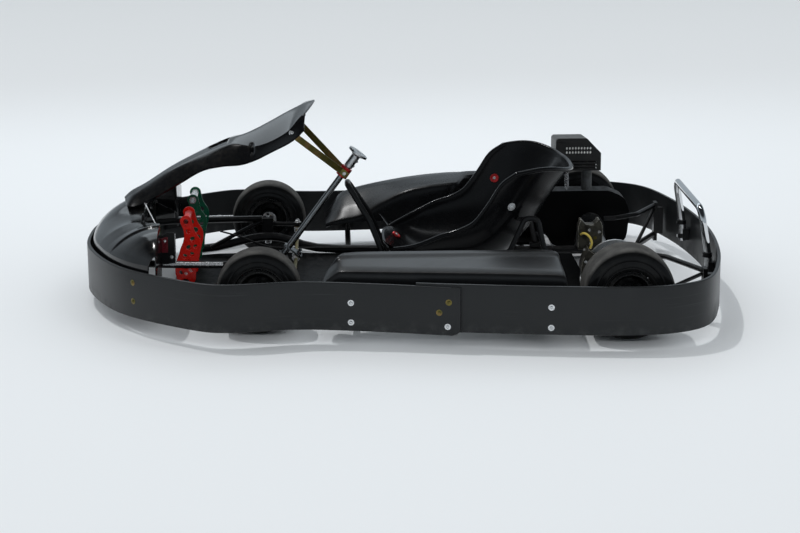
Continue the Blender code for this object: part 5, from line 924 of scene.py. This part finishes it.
def seat():
    """The seat's skin, with a rim that rolls outwards all round."""
    roll_radius, middle = 0.0062, (-0.30, 0, 0)
    grid = seat_face()
    roll = np.linspace(0.15, 1.25, 8) * math.pi
    side = np.stack([0 * roll, roll_radius * (1 - np.cos(roll)), roll_radius * np.sin(roll)], -1)
    grid = np.concatenate([grid, grid[:, -1:] + side[None]], 1)
    top = grid[-1, :SEAT_COLUMNS]
    out = top - middle
    out[:, 2] = 0
    out = (out / np.linalg.norm(out, axis=1)[:, None])[None]
    back = top[None] + out * side[:, 1][:, None, None] + UP * side[:, 2][:, None, None]
    t = np.linspace(0, 1, 9)[:, None]
    way = out[0, -1] * (1 - t) + LEFT * t
    way = way / np.linalg.norm(way, axis=1)[:, None]
    fan = top[-1] + way[:, None] * side[None, :, 1:2] + UP * side[None, :, 2:]
    shape = Piece().grid(mirrored(grid)).grid(mirrored(np.concatenate([top[None], back])))
    shape.grid(fan).grid(fan * FLIP)
    shape.make("seat_skin", FINISH["seat"], "chassis", ("seat_shell",), 0.004, 75)


def left_pod_stations():
    """The left pod: a shelf with a creased top, and a snout that steps down and forwards from its first
    station."""
    rows = [[(x, inner, top - 0.046), (x, inner + 0.003, top), (x, (inner + 0.52) / 2 + 0.004, top - 0.0005),
             (x, 0.520, top - 0.009), (x, ridge - 0.030, top - 0.017), (x, ridge, top - 0.025),
             (x, ridge + 0.005, top - 0.037), (x, ridge + 0.008, 0.090)] for x, inner, top, ridge in LEFT_POD]
    ahead = (0.55, 0.62, 0.72, 0.86, 1.0, 1.0, 0.96, 0.90)
    falls = (0.055, 0.052, 0.050, 0.046, 0.044, 0.040, 0.036, 0.0)
    snout = [(x + 0.050 * share, y, max(0.094, z - fall))
             for (x, y, z), share, fall in zip(rows[0], ahead, falls)]
    first = [(x + 0.003, y, min(z, 0.112)) for x, y, z in snout]
    last = [(x - 0.003, y, min(z, 0.130)) for x, y, z in rows[-1]]
    return np.array([first, snout] + rows + [last])


def right_pod_stations():
    """The right pod: it rises towards the back and leaves room for the engine."""
    rows = []
    for x, inner, crease, ridge, top in RIGHT_POD:
        low = 0.090 if x < 0.15 else 0.090 + 0.35 * (x - 0.15)
        rows.append([(x, -inner + 0.002, max(0.095, min(crease - 0.012, 0.125))), (x, -inner, crease),
                     (x, -(inner * 0.72 + ridge * 0.28), crease * 0.60 + top * 0.40 + 0.004),
                     (x, -(inner * 0.36 + ridge * 0.64), crease * 0.18 + top * 0.82 + 0.005),
                     (x, -ridge + 0.018, top), (x, -ridge, top - 0.012), (x, -ridge - 0.003, (top + low) / 2),
                     (x, -ridge - 0.002, min(low, top - 0.030))])
    return np.array(rows)


def pods():
    """Both side pods: their sections with corners eased across and along."""
    for side, grid in (("left", left_pod_stations()), ("right", right_pod_stations())):
        grid = eased(eased(grid, 0.13, 0.25, 0.25).swapaxes(0, 1), 0.20, 0.25, 0.25).swapaxes(0, 1)
        pod = side + "_sidepod"
        # each pod takes its own copy of the plastic: stronger sheen on the left, weaker on the right, as
        # painted light and shade
        Piece().grid(grid).make(pod + "_skin", FINISH[side + "_pod"], "chassis", (pod,), MOULDED_WALL, 75)


# Wheels

def wheel(side, centre, radius, width, name, body, disc, hub):
    """A slick tyre on a pressed rim, both turned about the wheel's axis. The tyre's section is a nearly flat
    crown, a round shoulder, a bulging wall and a bead. The rim has rolled flanges, a disc and a hub."""
    half, rim_half, axis = width / 2, width / 2 - 0.008, LEFT * side
    corner, crown_drop, shoulder_drop, shoulder_run, bead_radius = 0.026, 0.0020, 0.024, 0.0214, 0.0745
    crown = [(radius - crown_drop * v ** 2, v * (half - corner)) for v in np.linspace(0, 1, 9)]
    turn = np.linspace(0, math.pi / 2, 11)[1:]
    shoulder = [(radius - crown_drop - shoulder_drop * (1 - math.cos(v)),
                 half - corner + shoulder_run * math.sin(v)) for v in turn]
    span = radius - corner - bead_radius
    v = np.linspace(0, 1, 31)[1:]
    ring_height, ring_width = 0.0013, 0.035
    rings = ring_height * sum(np.exp(-((v - at) / ring_width) ** 2) for at in (0.16, 0.62, 0.78))
    bulge = half - 0.0046 + 0.0035 * np.sin(v * math.pi * 0.55) - 0.0052 * np.maximum(0.0, v - 0.55) / 0.45
    wall = list(zip(radius - corner - span * v, bulge + rings))
    bead = [(0.0730, rim_half - 0.0005), (0.0722, rim_half - 0.0030)]
    outer = crown + shoulder + wall + bead
    inside = [(0.0722, rim_half - 0.012), (radius - 0.030, half - 0.014), (radius - 0.014, half - 0.030),
              (radius - 0.011, 0.0)]
    section = outer + inside
    section = np.array(section + [(r, -h) for r, h in reversed(section[1:-1])])
    tread = np.clip((section[:, 0] - (radius - 0.0085)) / 0.005, 0, 1)
    tread[len(outer):len(outer) + 2 * len(inside) - 2] = 0
    tyre = Piece().lathe(section, centre, axis, 160, ring=True, tread=tread, across=section[:, 1])
    tyre.make(name + "_tyre_round", FINISH["tyre"], body, (name + "_tyre",), sharp=60)

    barrel, flange, lip, nut_circle = 0.062, 0.0715, 0.0032, 0.036
    hub_out, hub_in, bore = hub
    profile = [(flange - 0.001, rim_half), (flange, rim_half - 0.001), (flange, rim_half - 0.002),
               (barrel + 0.004, rim_half - lip), (barrel, rim_half - 0.007), (barrel, -rim_half + 0.007),
               (barrel + 0.004, -rim_half + lip), (flange, -rim_half + 0.002), (flange, -rim_half + 0.001),
               (flange - 0.001, -rim_half), (barrel + 0.003, -rim_half), (barrel - 0.003, -rim_half + 0.005),
               (barrel - 0.003, disc), (0.052, disc - 0.001), (0.046, disc + 0.006), (0.030, disc + 0.006),
               (0.026, disc), (0.026, hub_in), (bore, hub_in), (bore, hub_out), (0.0245, hub_out),
               (0.026, hub_out - 0.0015), (0.026, disc + 0.010), (0.044, disc + 0.010), (0.050, disc + 0.003),
               (barrel - 0.003, disc + 0.003), (barrel - 0.003, rim_half - 0.005), (barrel + 0.003, rim_half)]
    rim = Piece().lathe(profile, centre, axis, 96, ring=True)
    for k in range(3):
        turn = 2 * math.pi * k / 3 + 0.5
        place = np.asarray(centre) + axis * (disc + 0.010)
        place = place + nut_circle * np.array((math.cos(turn), 0, math.sin(turn)))
        bolt(rim, place, axis, 0.008, "nut", 1.9)
    rim.make(name + "_rim_round", FINISH["rim"], body, (name + "_rim",), sharp=40)


def wheels():
    for word, side in SIDES:
        wheel(side, FRONT_AXLE + LEFT * side * FRONT_WHEEL_SIDE, 0.125, 0.114, "front_" + word,
              "front_%s_wheel" % word, 0.006, (0.030, -0.034, 0.0095))
        wheel(side, REAR_AXLE + LEFT * side * REAR_WHEEL_SIDE, 0.1355, 0.150, "rear_" + word, "axle", 0.016,
              (0.036, -0.030, 0.0203))


# Fastenings and small parts

def band_bolts():
    """Bolts through the bumper bands, on both sides: square to the band at a given x and height."""
    front, rear = offset_plan(band_plan(), FRONT_BAND_OUTSIDE), band_plan()
    rows = {"bolt": ((front, 0.166, 0.124), (front, 0.166, 0.066), (rear, -0.4035, 0.125),
                     (rear, -0.4035, 0.065), (front, -0.110, 0.063)),
            "zinc": ((front, 0.806, 0.151), (front, 0.806, 0.095), (front, -0.113, 0.135),
                     (front, -0.086, 0.104))}
    for finish, places in rows.items():
        shape = Piece()
        for path, x, z in places:
            ahead = at_x(path, x - 0.004) - at_x(path, x + 0.004)
            out = np.array((ahead[1], -ahead[0], 0.0)) / np.linalg.norm(ahead)
            place = at_x(path, x) + UP * z - out * 0.0006
            for flip in (1, FLIP):
                bolt(shape, place * flip, out * flip, 0.0055, "button", 2.7)
        shape.make("band_bolts_" + finish, FINISH[finish], "chassis", sharp=30)


def cup_washer(shape, place, axis, radius):
    """A turned washer whose face is dished towards the bolt's head."""
    t = radius * 0.30
    shape.lathe(((0.0, 0.0), (radius, 0.0), (radius, t * 0.6), (radius * 0.92, t), (radius * 0.66, t * 1.15),
                 (radius * 0.58, t * 0.7), (0.0, t * 0.7)), place, axis, 32)


def seat_fixings():
    """Red dished washers with bolts inside the seat and bright lock nuts on its outside, each square on the
    seat's face."""
    grid = mirrored(seat_face())
    washers, bolts = Piece(), Piece()
    middle = np.array((-0.20, 0.0, 0.42))
    for x, y, z in ((-0.319, 0.237, 0.304), (0.010, 0.128, 0.140)):
        for side in (-1, 1):
            point, axis = face_at(grid, (x, y * side, z))
            axis = axis * np.sign(axis @ (middle - point))
            cup_washer(washers, point + axis * 0.0018, axis, 0.0150)
            bolt(bolts, point + axis * 0.0050, axis, 0.0062, "button", 0)
    for side in (1, -1):
        point, axis = face_at(grid, (-0.332, 0.233 * side, 0.309))
        axis = axis * np.sign(axis[1] * side)
        bolt(bolts, point + axis * 0.0020, axis, 0.0068, "lock", 3.0)
    washers.make("seat_washers", FINISH["clamp"], "chassis", sharp=30)
    bolts.make("seat_bolts", FINISH["bolt"], "chassis", sharp=30)


def pedal(name, finish, tube_finish, low, high):
    """A pedal: two pierced side plates, a hollow foot tube through their tops and a bright pivot tube."""
    foot_x, foot_z, plate, body = -0.007, 0.194, 0.0050, name + "_body"
    t = np.radians(np.linspace(10, 170, 9))
    top = list(zip(foot_x + 0.018 * np.cos(t), foot_z + 0.018 * np.sin(t)))
    b = np.radians(np.linspace(200, 330, 8))
    bottom = list(zip(0.016 * np.cos(b), 0.016 * np.sin(b)))
    front = [(0.016, -0.006), (0.030, 0.030), (0.024, 0.075), (0.004, 0.120), (0.000, 0.160), (0.010, 0.190)]
    back = [(-0.032, 0.165), (-0.047, 0.140), (-0.050, 0.115), (-0.042, 0.080), (-0.034, 0.040),
            (-0.030, 0.006)]
    knots = np.array(front + top + back + bottom)
    outline = smooth(knots, 3, knots[-1], knots[0])[:-1]
    spots = ((foot_x, foot_z, 0.0106), (-0.014, 0.163, 0.0080), (-0.026, 0.138, 0.0085),
             (-0.034, 0.115, 0.0070), (-0.014, 0.112, 0.0085), (-0.022, 0.090, 0.0080),
             (0.000, 0.084, 0.0085), (-0.014, 0.066, 0.0080), (0.008, 0.058, 0.0075),
             (-0.018, 0.040, 0.0070), (0.012, 0.034, 0.0070), (-0.002, 0.030, 0.0055))
    shape = Piece()
    for y in (low + plate / 2, high - plate / 2):
        shape.sheet(outline, [circle(*spot) for spot in spots], plate, PEDAL_PIVOT + LEFT * y, (1, 0, 0),
                    (0, 0, 1))
    shape.make(name + "_plates", finish, body, (name,), sharp=30, bevel=0.0004)
    foot = PEDAL_PIVOT + (foot_x, 0.0, foot_z)
    tube = Piece().lathe(ring_section(0.0078, 0.0110, low - 0.004, high + 0.004), foot, LEFT, 32, ring=True)
    tube.make(name + "_foot_tube", tube_finish, body, sharp=30)
    sleeve = Piece().lathe(ring_section(0.0064, 0.0140, low, high, 0.0004), PEDAL_PIVOT, LEFT, 32, ring=True)
    sleeve.make(name + "_sleeve", FINISH["bolt"], body, sharp=30)


def nose_liners():
    """Dark strips inside the band where the nose's lobes end: a sheet that follows the band a few millimetres
    inside it."""
    path = offset_plan(band_plan(), -0.0034)
    path = path[(path[:, 0] > 0.690) & (path[:, 0] < 0.800)]
    grid = path[:, None] + UP * np.linspace(0.086, 0.181, 4)[None, :, None]
    Piece().grid(grid).grid(grid * FLIP).make("nose_liners", FINISH["guard"], "chassis", wall=0.0020)


def knuckles():
    """What shows round the front stub axles: the brace from each rail to the king pin and a spacer tube under
    it, the nut on each steering arm, and the rod ends' cups and lock nuts."""
    braces, spacers = Piece(), Piece()
    long = KING_BRACKET - KING_LOW
    spacer = ((0.0058, 0.0), (0.0105, 0.0), (0.0110, 0.0006), (0.0110, long), (0.0058, long))
    cup = ring_section(0.0088, 0.0126, -0.0072, 0.0072, 0.0008, 0.0010)
    nut = ((0.0062, 0.0), (0.0086, 0.0), (0.0086, 0.0070), (0.0062, 0.0070))
    for word, side in SIDES:
        bend = [(0.624, 0.300 * side, 0.068), (0.560, 0.318 * side, 0.098), (0.455, 0.3235 * side, 0.150)]
        braces.tube(rounded(bend, 0.060, 8), 0.0068, 18)
        spacers.lathe(spacer, (FRONT_AXLE[0], KING_PIN_SIDE * side, KING_LOW), UP, 28, ring=True)
        arm = Piece()
        bolt(arm, (ARM_END[0], ARM_END[1] * side, 0.1400), UP, 0.0076, "lock", 2.3)
        arm.make(word + "_arm_nut", FINISH["bolt"], word + "_stub", sharp=30)
        outer, inner = ARM_END * (1, side, 1), ROD_INNER * (1, side, 1)
        way = (inner - outer) / np.linalg.norm(inner - outer)
        ends = Piece().lathe(cup, outer, UP, 32, ring=True).lathe(cup, inner, COLUMN_AXIS, 32, ring=True)
        ends.lathe(nut, outer + way * 0.0150, way, 6, ring=True)
        ends.lathe(nut, inner - way * 0.0150, -way, 6, ring=True)
        ends.make(word + "_rod_ends", FINISH["bolt"], word + "_rod", sharp=30)
    spacers.make("king_pin_spacers", FINISH["bolt"], "chassis", sharp=30)
    braces.make("knuckle_braces", FINISH["frame"], "chassis")


def side_plates():
    """Dark pierced plates between the left pod's end and the brake, and behind the nose's left lobe. The
    second has a bright edge, two bolts and a maroon pad."""
    shape = Piece()
    outline = rounded([(-0.405, 0.058), (-0.527, 0.058), (-0.527, 0.150), (-0.500, 0.200), (-0.405, 0.200),
                       (-0.405, 0.058)], 0.010, 5)[:-1]
    shape.upright(outline, [circle(-0.452, 0.120, 0.012), circle(-0.492, 0.085, 0.009)], 0.0030, 0.400)
    bolt_places = ((0.722, 0.236), (0.703, 0.186))
    outline = rounded([(0.692, 0.164), (0.692, 0.262), (0.712, 0.262), (0.734, 0.250), (0.734, 0.164),
                       (0.692, 0.164)], 0.004, 4)[:-1]
    shape.upright(outline, [circle(x, z, 0.004) for x, z in bolt_places], 0.0026, 0.3285)
    shape.make("side_plates", FINISH["frame"], "chassis", sharp=30, bevel=0.0004)
    edge = Piece().tube([(0.6915, 0.3285, 0.166), (0.6915, 0.3285, 0.258)], 0.0020, 10)
    for x, z in bolt_places:
        bolt(edge, (x, 0.3298, z), LEFT, 0.0048, "button", 1.8)
    edge.make("side_plate_edge", FINISH["bolt"], "chassis", sharp=30)
    outline = rounded([(0.713, 0.200), (0.713, 0.250), (0.7325, 0.244), (0.7325, 0.200), (0.713, 0.200)],
                      0.003, 4)[:-1]
    pad = Piece().upright(outline, (), 0.0012, 0.3304)
    pad.make("side_plate_pad", FINISH["maroon"], "chassis", sharp=30, bevel=0.0003)


def steering_hub():
    """The hub: a clamp tube with two bolts, a coned shoulder and a flange with six holes."""
    bore, spread = 0.0102, 0.0240
    turns = np.arange(6) * math.pi / 3 + 0.3
    holes = [circle(spread * math.cos(turn), spread * math.sin(turn), 0.0031, 16) for turn in turns]
    shape = Piece().sheet(circle(0, 0, 0.033, 64), [circle(0, 0, bore, 32)] + holes, 0.0068,
                          HUB_FOOT + COLUMN_AXIS * 0.0031, LEFT, np.cross(COLUMN_AXIS, LEFT))
    shape.lathe(((bore, -0.0510), (0.0136, -0.0510), (0.0140, -0.0504), (0.0140, -0.0085), (0.0165, -0.0060),
                 (0.0300, -0.0004), (bore, -0.0004)), HUB_FOOT, COLUMN_AXIS, 48, ring=True)
    shape.make("steering_hub_turned", FINISH["aluminium"], "steering", ("steering_hub",), sharp=30,
               bevel=0.0005)
    bolts = Piece()
    for along in (-0.040, -0.022):
        bolt(bolts, HUB_FOOT + COLUMN_AXIS * along + COLUMN_BACK * 0.0138, COLUMN_BACK, 0.0045, "button", 1.6)
    bolts.make("steering_hub_bolts", FINISH["bolt"], "steering", sharp=30)


def guard_line(top):
    """The guard's outline for a height of its top: up its front, back along the top, down to the rear."""
    low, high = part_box("muffler_guard")
    front, rear, foot, inset = high[0] - 0.0010, low[0] + 0.0010, low[2], 0.0010
    return rounded([(front, 0, foot), (front, 0, top - inset), (low[0] + 0.048, 0, top - inset),
                    (rear, 0, top - 0.050), (rear, 0, foot)], 0.009, 8)


def muffler_guard():
    """The guard: a bent roof sheet with round corners between two pierced sheets, louvres, a pale sheet just
    behind the slots that paints the light showing through them, and a nut on top. The roof falls evenly from
    the kart's middle outwards, and its lighter grey than the side sheets is painted light on its front and
    top."""
    low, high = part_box("muffler_guard")
    y0, fall = low[1], 0.0145
    x1, y1, z1 = high
    y = np.linspace(y0 + 0.001, y1 - 0.001, 12)[:, None, None]
    share = (y - y0) / (y1 - y0)
    roof = guard_line(z1 - fall) * (1 - share) + guard_line(z1) * share + y * LEFT
    # painted light: the roof sheet is a lighter grey than the side sheets, for the light on its front and top
    Piece().grid(roof).make("muffler_guard_roof", FINISH["lit_roof_grey"], "chassis", ("muffler_guard",),
                            wall=0.0020, sharp=75)
    slots = [slot_loop(x1 - 0.0355 - k * 0.0098, foot + 0.00525, 0.0064, 0.0105) for k in range(9)
             for foot in (0.372, 0.386)]
    slots += [slot_loop(x1 - 0.0905, 0.325 + k * 0.0105, 0.087, 0.0050) for k in range(3)]
    faces = Piece()
    for place, top in ((y1 - 0.0009, z1), (y0 + 0.0009, z1 - fall)):
        faces.upright(guard_line(top)[:, (0, 2)], slots, 0.0016, place)
    faces.make("muffler_guard_faces", FINISH["engine"], "chassis", sharp=30)
    louvres = Piece()
    lip = np.linspace(0, math.pi / 2, 5)
    for k in range(3):
        x, lip_y = np.meshgrid((x1 - 0.133, x1 - 0.048), y1 - 0.0018 - 0.004 * np.sin(lip), indexing="ij")
        lip_z = np.broadcast_to(0.3228 + k * 0.0105 + 0.0055 * (1 - np.cos(lip)), x.shape)
        louvres.grid(np.stack([x, lip_y, lip_z], -1))
    louvres.make("muffler_guard_louvres", FINISH["engine"], "chassis", wall=0.0008)
    rear, front, foot, head = x1 - 0.124, x1 - 0.022, 0.366, 0.402
    corners = ((rear, foot), (front, foot), (front, head), (rear, head))
    # painted light: a pale sheet just behind the near face's slots stands in for the light that shows through
    # them
    slot_light_sheet = Piece().upright(corners, (), 0.0010, y1 - 0.0024)
    slot_light_sheet.make("muffler_guard_slot_light_sheet", FINISH["slot_light_sheet"], "chassis", sharp=30)
    nut = Piece()
    bolt(nut, np.array((-0.569, -0.3725, z1 - fall * 0.5)) - UP * 0.0045, UP, 0.0042, "hex", 2.4, 0.8)
    nut.make("muffler_guard_nut", FINISH["bolt"], "chassis", sharp=30)


def exhaust_spring():
    """A coil between the muffler and its pipe: its radius grows from nothing and shrinks at the ends."""
    radius, wire, turns = 0.0062, 0.0011, 9
    t = np.linspace(0, 1, 181)[:, None]
    start, end = np.array((-0.562, -0.300, 0.318)), np.array((-0.570, -0.344, 0.239))
    _, side, lift = across(end - start)
    turn = np.clip((t - 0.12) / 0.76, 0, 1) * 2 * math.pi * turns
    reach = radius * np.sin(np.clip(t / 0.10, 0, 1) * np.clip((1 - t) / 0.10, 0, 1) * math.pi / 2)
    coil = start + (end - start) * t + reach * (np.cos(turn) * side + np.sin(turn) * lift)
    Piece().tube(coil, wire, 8).make("exhaust_spring", FINISH["bolt"], "chassis")


def brakes():
    """The bolts and bleed screw of the caliper and master cylinder, and the yellow union of the hose."""
    bolts, union = Piece(), Piece()
    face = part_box("brake_caliper")[1][1]
    for x, z in ((-0.548, 0.163), (-0.556, 0.112), (-0.590, 0.092)):
        bolt(bolts, (x, face - 0.0030, z), LEFT, 0.0058, "button", 1.9)
    bolts.tube([(-0.545, face - 0.014, 0.196), (-0.545, face - 0.014, 0.2005)], 0.0036, 12)
    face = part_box("master_cylinder")[1][1]
    for x, z in ((-0.571, 0.205), (-0.596, 0.240), (-0.566, 0.246)):
        bolt(bolts, (x, face - 0.0030, z), LEFT, 0.0050, "hex", 1.9)
    union.lathe(((0.0, -0.002), (0.0085, -0.002), (0.0085, 0.003), (0.0060, 0.003), (0.0060, 0.0065),
                 (0.0, 0.0065)), (-0.584, face - 0.0060, 0.222), LEFT, 6)
    bolts.make("brake_bolts", FINISH["bolt"], "chassis", sharp=30)
    union.make("brake_union", FINISH["zinc"], "chassis", sharp=30)


def nose_wires():
    """Behind the nose: a bent wire loop and a thin bright stay that ends in an eye."""
    loop = [(0.7990, 0.262, 0.262), (0.793, 0.262, 0.301), (0.793, 0.238, 0.301), (0.7990, 0.238, 0.264)]
    Piece().tube(rounded(loop, 0.009, 8), 0.0030, 12).make("nose_loop", FINISH["frame"], "chassis")
    stay = Piece().tube(np.linspace((0.802, 0.100, 0.309), (0.757, 0.222, 0.263), 6), 0.0016, 10)
    turn = np.linspace(0, 2 * math.pi, 33)[:, None]
    spoke = np.cos(turn) * np.array((0.35, -0.9, 0.2)) + np.sin(turn) * np.array((0.9, 0.35, 0.0))
    stay.tube(np.array((0.752, 0.232, 0.261)) + 0.008 * spoke, 0.0016, 10)
    stay.make("nose_stay", FINISH["bolt"], "chassis")


def frame_bolts():
    """Bolts through the panel's straps, the column clamp and the stub axle brackets."""
    bolts = Piece()
    for side in (1, -1):
        bolt(bolts, COLUMN_CLAMP + LEFT * side * 0.0300, LEFT * side, 0.0058, "lock", 2.0)
        bolt(bolts, np.array((0.337, 0.1475 * side, 0.530)), (0, 0.93 * side, 0.36), 0.0060, "button", 2.6)
        bolt(bolts, np.array((FRONT_AXLE[0], KING_PIN_SIDE * side, KING_TOP)), UP, 0.0060, "lock", 2.0)
    bolts.make("frame_bolts", FINISH["bolt"], "chassis", sharp=30)


def push_bar():
    """The chrome bar behind the axle: a bent tube, a foot block at each end and the clamps that hold it."""
    y, foot, top, low, bend, high = 0.235, 0.043 - LENGTH / 2, 0.069 - LENGTH / 2, 0.0882, 0.140, 0.293
    path = rounded([(foot, y, low), (foot, y, bend), (top, y, high), (top, -y, high), (foot, -y, bend),
                    (foot, -y, low)], 0.045, 10)
    Piece().tube(path, 0.011, 28).make("push_bar_tube", FINISH["chrome"], "chassis", ("push_bar",), sharp=50)
    feet, clamps, bolts = Piece(), Piece(), Piece()
    band = offset_plan(band_plan(), -0.0112)
    band = band[band[:, 0] < -0.6][::-1]
    for side in (-1, 1):
        edge = [(np.interp(v, band[:, 1], band[:, 0]), side * v) for v in (y - 0.018, y + 0.018)]
        prism(feet, edge + [(foot + 0.002, side * (y + 0.018)), (foot + 0.002, side * (y - 0.018))], 0.092,
              0.128, "z")
        for shift, z in ((0.0, 0.104), (0.004, 0.150)):
            clamps.lathe(ring_section(0.0112, 0.0156, -0.007, 0.007), (foot + shift, side * y, z), UP, 28,
                         ring=True)
            bolt(bolts, (foot + 0.0165, side * y, z), (1, 0, 0), 0.0045, "button", 1.6)
    feet.make("push_bar_feet", FINISH["frame"], "chassis", sharp=30, bevel=0.0008)
    clamps.make("push_bar_clamps", FINISH["frame"], "chassis", sharp=30)
    bolts.make("push_bar_bolts", FINISH["bolt"], "chassis", sharp=30)


def hoop_highlight_tubes():
    """Thin bright tubes clipped along the hoop's legs: a painted highlight along the black hoop."""
    front = LENGTH / 2 - 0.088
    left = np.array([(0.4528, HOOP_LEG, HOOP_HEIGHT), (front - 0.260, HOOP_LEG - 0.010, HOOP_HEIGHT),
                     (front - 0.110, HOOP_LEG - 0.035, HOOP_HEIGHT), (front - 0.018, 0.180, HOOP_HEIGHT),
                     (front, 0.0, HOOP_HEIGHT)])
    path = smooth(left, 16, None, left[-2] * FLIP)
    run = path[(path[:, 0] > 0.548) & (path[:, 0] < 0.733) & (path[:, 1] > 0.26)]
    shape = Piece()
    for side in (1, -1):
        shape.tube((run + (0.0, 0.0150, 0.0060)) * (1, side, 1), 0.0052, 20)
        for x, y in (run[4, :2], run[-4, :2]):
            clip = rounded([(y + 0.002, 0.160), (y + 0.015, 0.1710), (y + 0.0215, 0.164), (y + 0.015, 0.157),
                            (y + 0.002, 0.156)], 0.0015, 3)
            prism(shape, clip * (side, 1), x - 0.004, x + 0.004, "x")
    shape.make("hoop_highlight_tubes", FINISH["bolt"], "chassis", sharp=40)


def front_bearings():
    """The brass coloured collar and the bright bearing ring on the inner side of each front wheel."""
    collar_section = ((0.0096, -0.0390), (0.0150, -0.0390), (0.0158, -0.0382), (0.0158, -0.0342),
                      (0.0096, -0.0342))
    bearing_section = ((0.0160, -0.0370), (0.0235, -0.0370), (0.0250, -0.0358), (0.0250, -0.0300),
                       (0.0160, -0.0300))
    for word, side in SIDES:
        centre = FRONT_AXLE + LEFT * side * FRONT_WHEEL_SIDE
        wheel_name = "front_%s_wheel" % word
        collar = Piece().lathe(collar_section, centre, LEFT * side, 48, ring=True)
        collar.make("front_%s_collar" % word, FINISH["zinc"], wheel_name, sharp=30)
        ring = Piece().lathe(bearing_section, centre, LEFT * side, 48, ring=True)
        ring.make("front_%s_bearing_ring" % word, FINISH["bolt"], wheel_name, sharp=30)


photo_camera()
FINISH = {
    "band": band_plastic(),
    "gloss": gloss_plastic(),
    "seat": gloss_plastic("seat_plastic", 0.3, 0.19, 0.17, 0.0),
    # The two pods are one plastic: the left copy reflects strongly as painted light, the right copy weakly as
    # painted shade
    "left_pod": gloss_plastic("left_pod_plastic_lit_copy", 0.5, 0.33, 0.46, 0.0),
    "right_pod": gloss_plastic("right_pod_plastic_shaded_copy", 0.5, 0.26, 0.20, 0.0),
    "guard": powder_coat("guard_plastic", (0.0022, 0.0024, 0.0026), 0.34, 0.05),
    "frame": powder_coat(),
    # painted light: a lighter grey for the guard's roof sheet, standing in for the light on its front and top
    "lit_roof_grey": powder_coat("guard_roof_grey_painted_light", (0.052, 0.054, 0.054), 0.46, 0.35),
    "tyre": tyre_rubber(),
    "rim": rim_paint(),
    "steel": bare_steel(),
    "column": bare_steel("column_steel", (0.30, 0.305, 0.31), 0.10),
    "disc": bare_steel("disc_steel", (0.86, 0.86, 0.86), 0.34, (300, 300, 300)),
    "chrome": chrome_plate(),
    "aluminium": turned_aluminium(),
    "zinc": yellow_zinc(),
    "bolt": bright_zinc(),
    "red": worn_paint("pedal_red", (0.62, 0.010, 0.004), (0.42, 0.006, 0.003)),
    "green": worn_paint("pedal_green", (0.006, 0.105, 0.055), (0.004, 0.055, 0.030)),
    "maroon": worn_paint("maroon_pad", (0.110, 0.006, 0.012), (0.060, 0.004, 0.008)),
    "clamp": red_anodised(),
    "cast": rough_casting(),
    # its edges lighten almost to white: rubbed metal and painted highlight
    "alloy": rough_casting("cast_alloy", (0.070, 0.065, 0.052), (0.007, 0.0065, 0.005), 0.60,
                           (0.95, 0.90, 0.78), 0.0042),
    # painted light: a pale sheet for the light seen through the guard's slots
    "slot_light_sheet": rough_casting("slot_light_sheet_cast", (0.86, 0.86, 0.84), (0.62, 0.61, 0.58), 0.15),
    "engine": engine_paint(),
    "hose": yellow_hose(),
    "chain": chain_steel(),
}
# The finish of each solid that shows as it is
SOLID_FINISH = {
    "frame": ("left_rail", "right_rail", "front_cross_tube", "seat_cross_tube", "rear_cross_tube",
              "front_hoop", "column_bracket", "column_support", "left_seat_stay", "right_seat_stay",
              "left_rear_bracket", "right_rear_bracket", "left_axle_carrier", "right_axle_carrier",
              "left_stub_axle", "right_stub_axle"),
    "guard": ("chain_guard", "floor_tray", "engine_mount"),
    "zinc": ("left_track_rod", "right_track_rod", "left_panel_strap", "right_panel_strap"),
    "steel": ("rear_axle",),
    "column": ("steering_column",),
    "disc": ("brake_disc",),
    "chain": ("axle_sprocket", "clutch_sprocket", "drive_chain"),
    "clamp": ("column_clamp",),
    "cast": ("muffler",),
    "alloy": ("brake_caliper", "master_cylinder"),
    "engine": ("engine_block", "recoil_cover", "fuel_tank", "air_filter", "throttle_cable"),
    "hose": ("brake_hose",),
}
for finish, nodes in SOLID_FINISH.items():
    for node in nodes:
        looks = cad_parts[node].data.materials
        looks.clear()
        looks.append(FINISH[finish])

stage()
bands()
nose()
front_panel()
seat()
pods()
wheels()
band_bolts()
seat_fixings()
pedal("brake_pedal", FINISH["red"], FINISH["red"], 0.085, 0.225)
pedal("accelerator_pedal", FINISH["green"], FINISH["bolt"], -0.225, -0.095)
nose_liners()
knuckles()
side_plates()
steering_hub()
muffler_guard()
exhaust_spring()
brakes()
nose_wires()
frame_bolts()
push_bar()
hoop_highlight_tubes()
front_bearings()
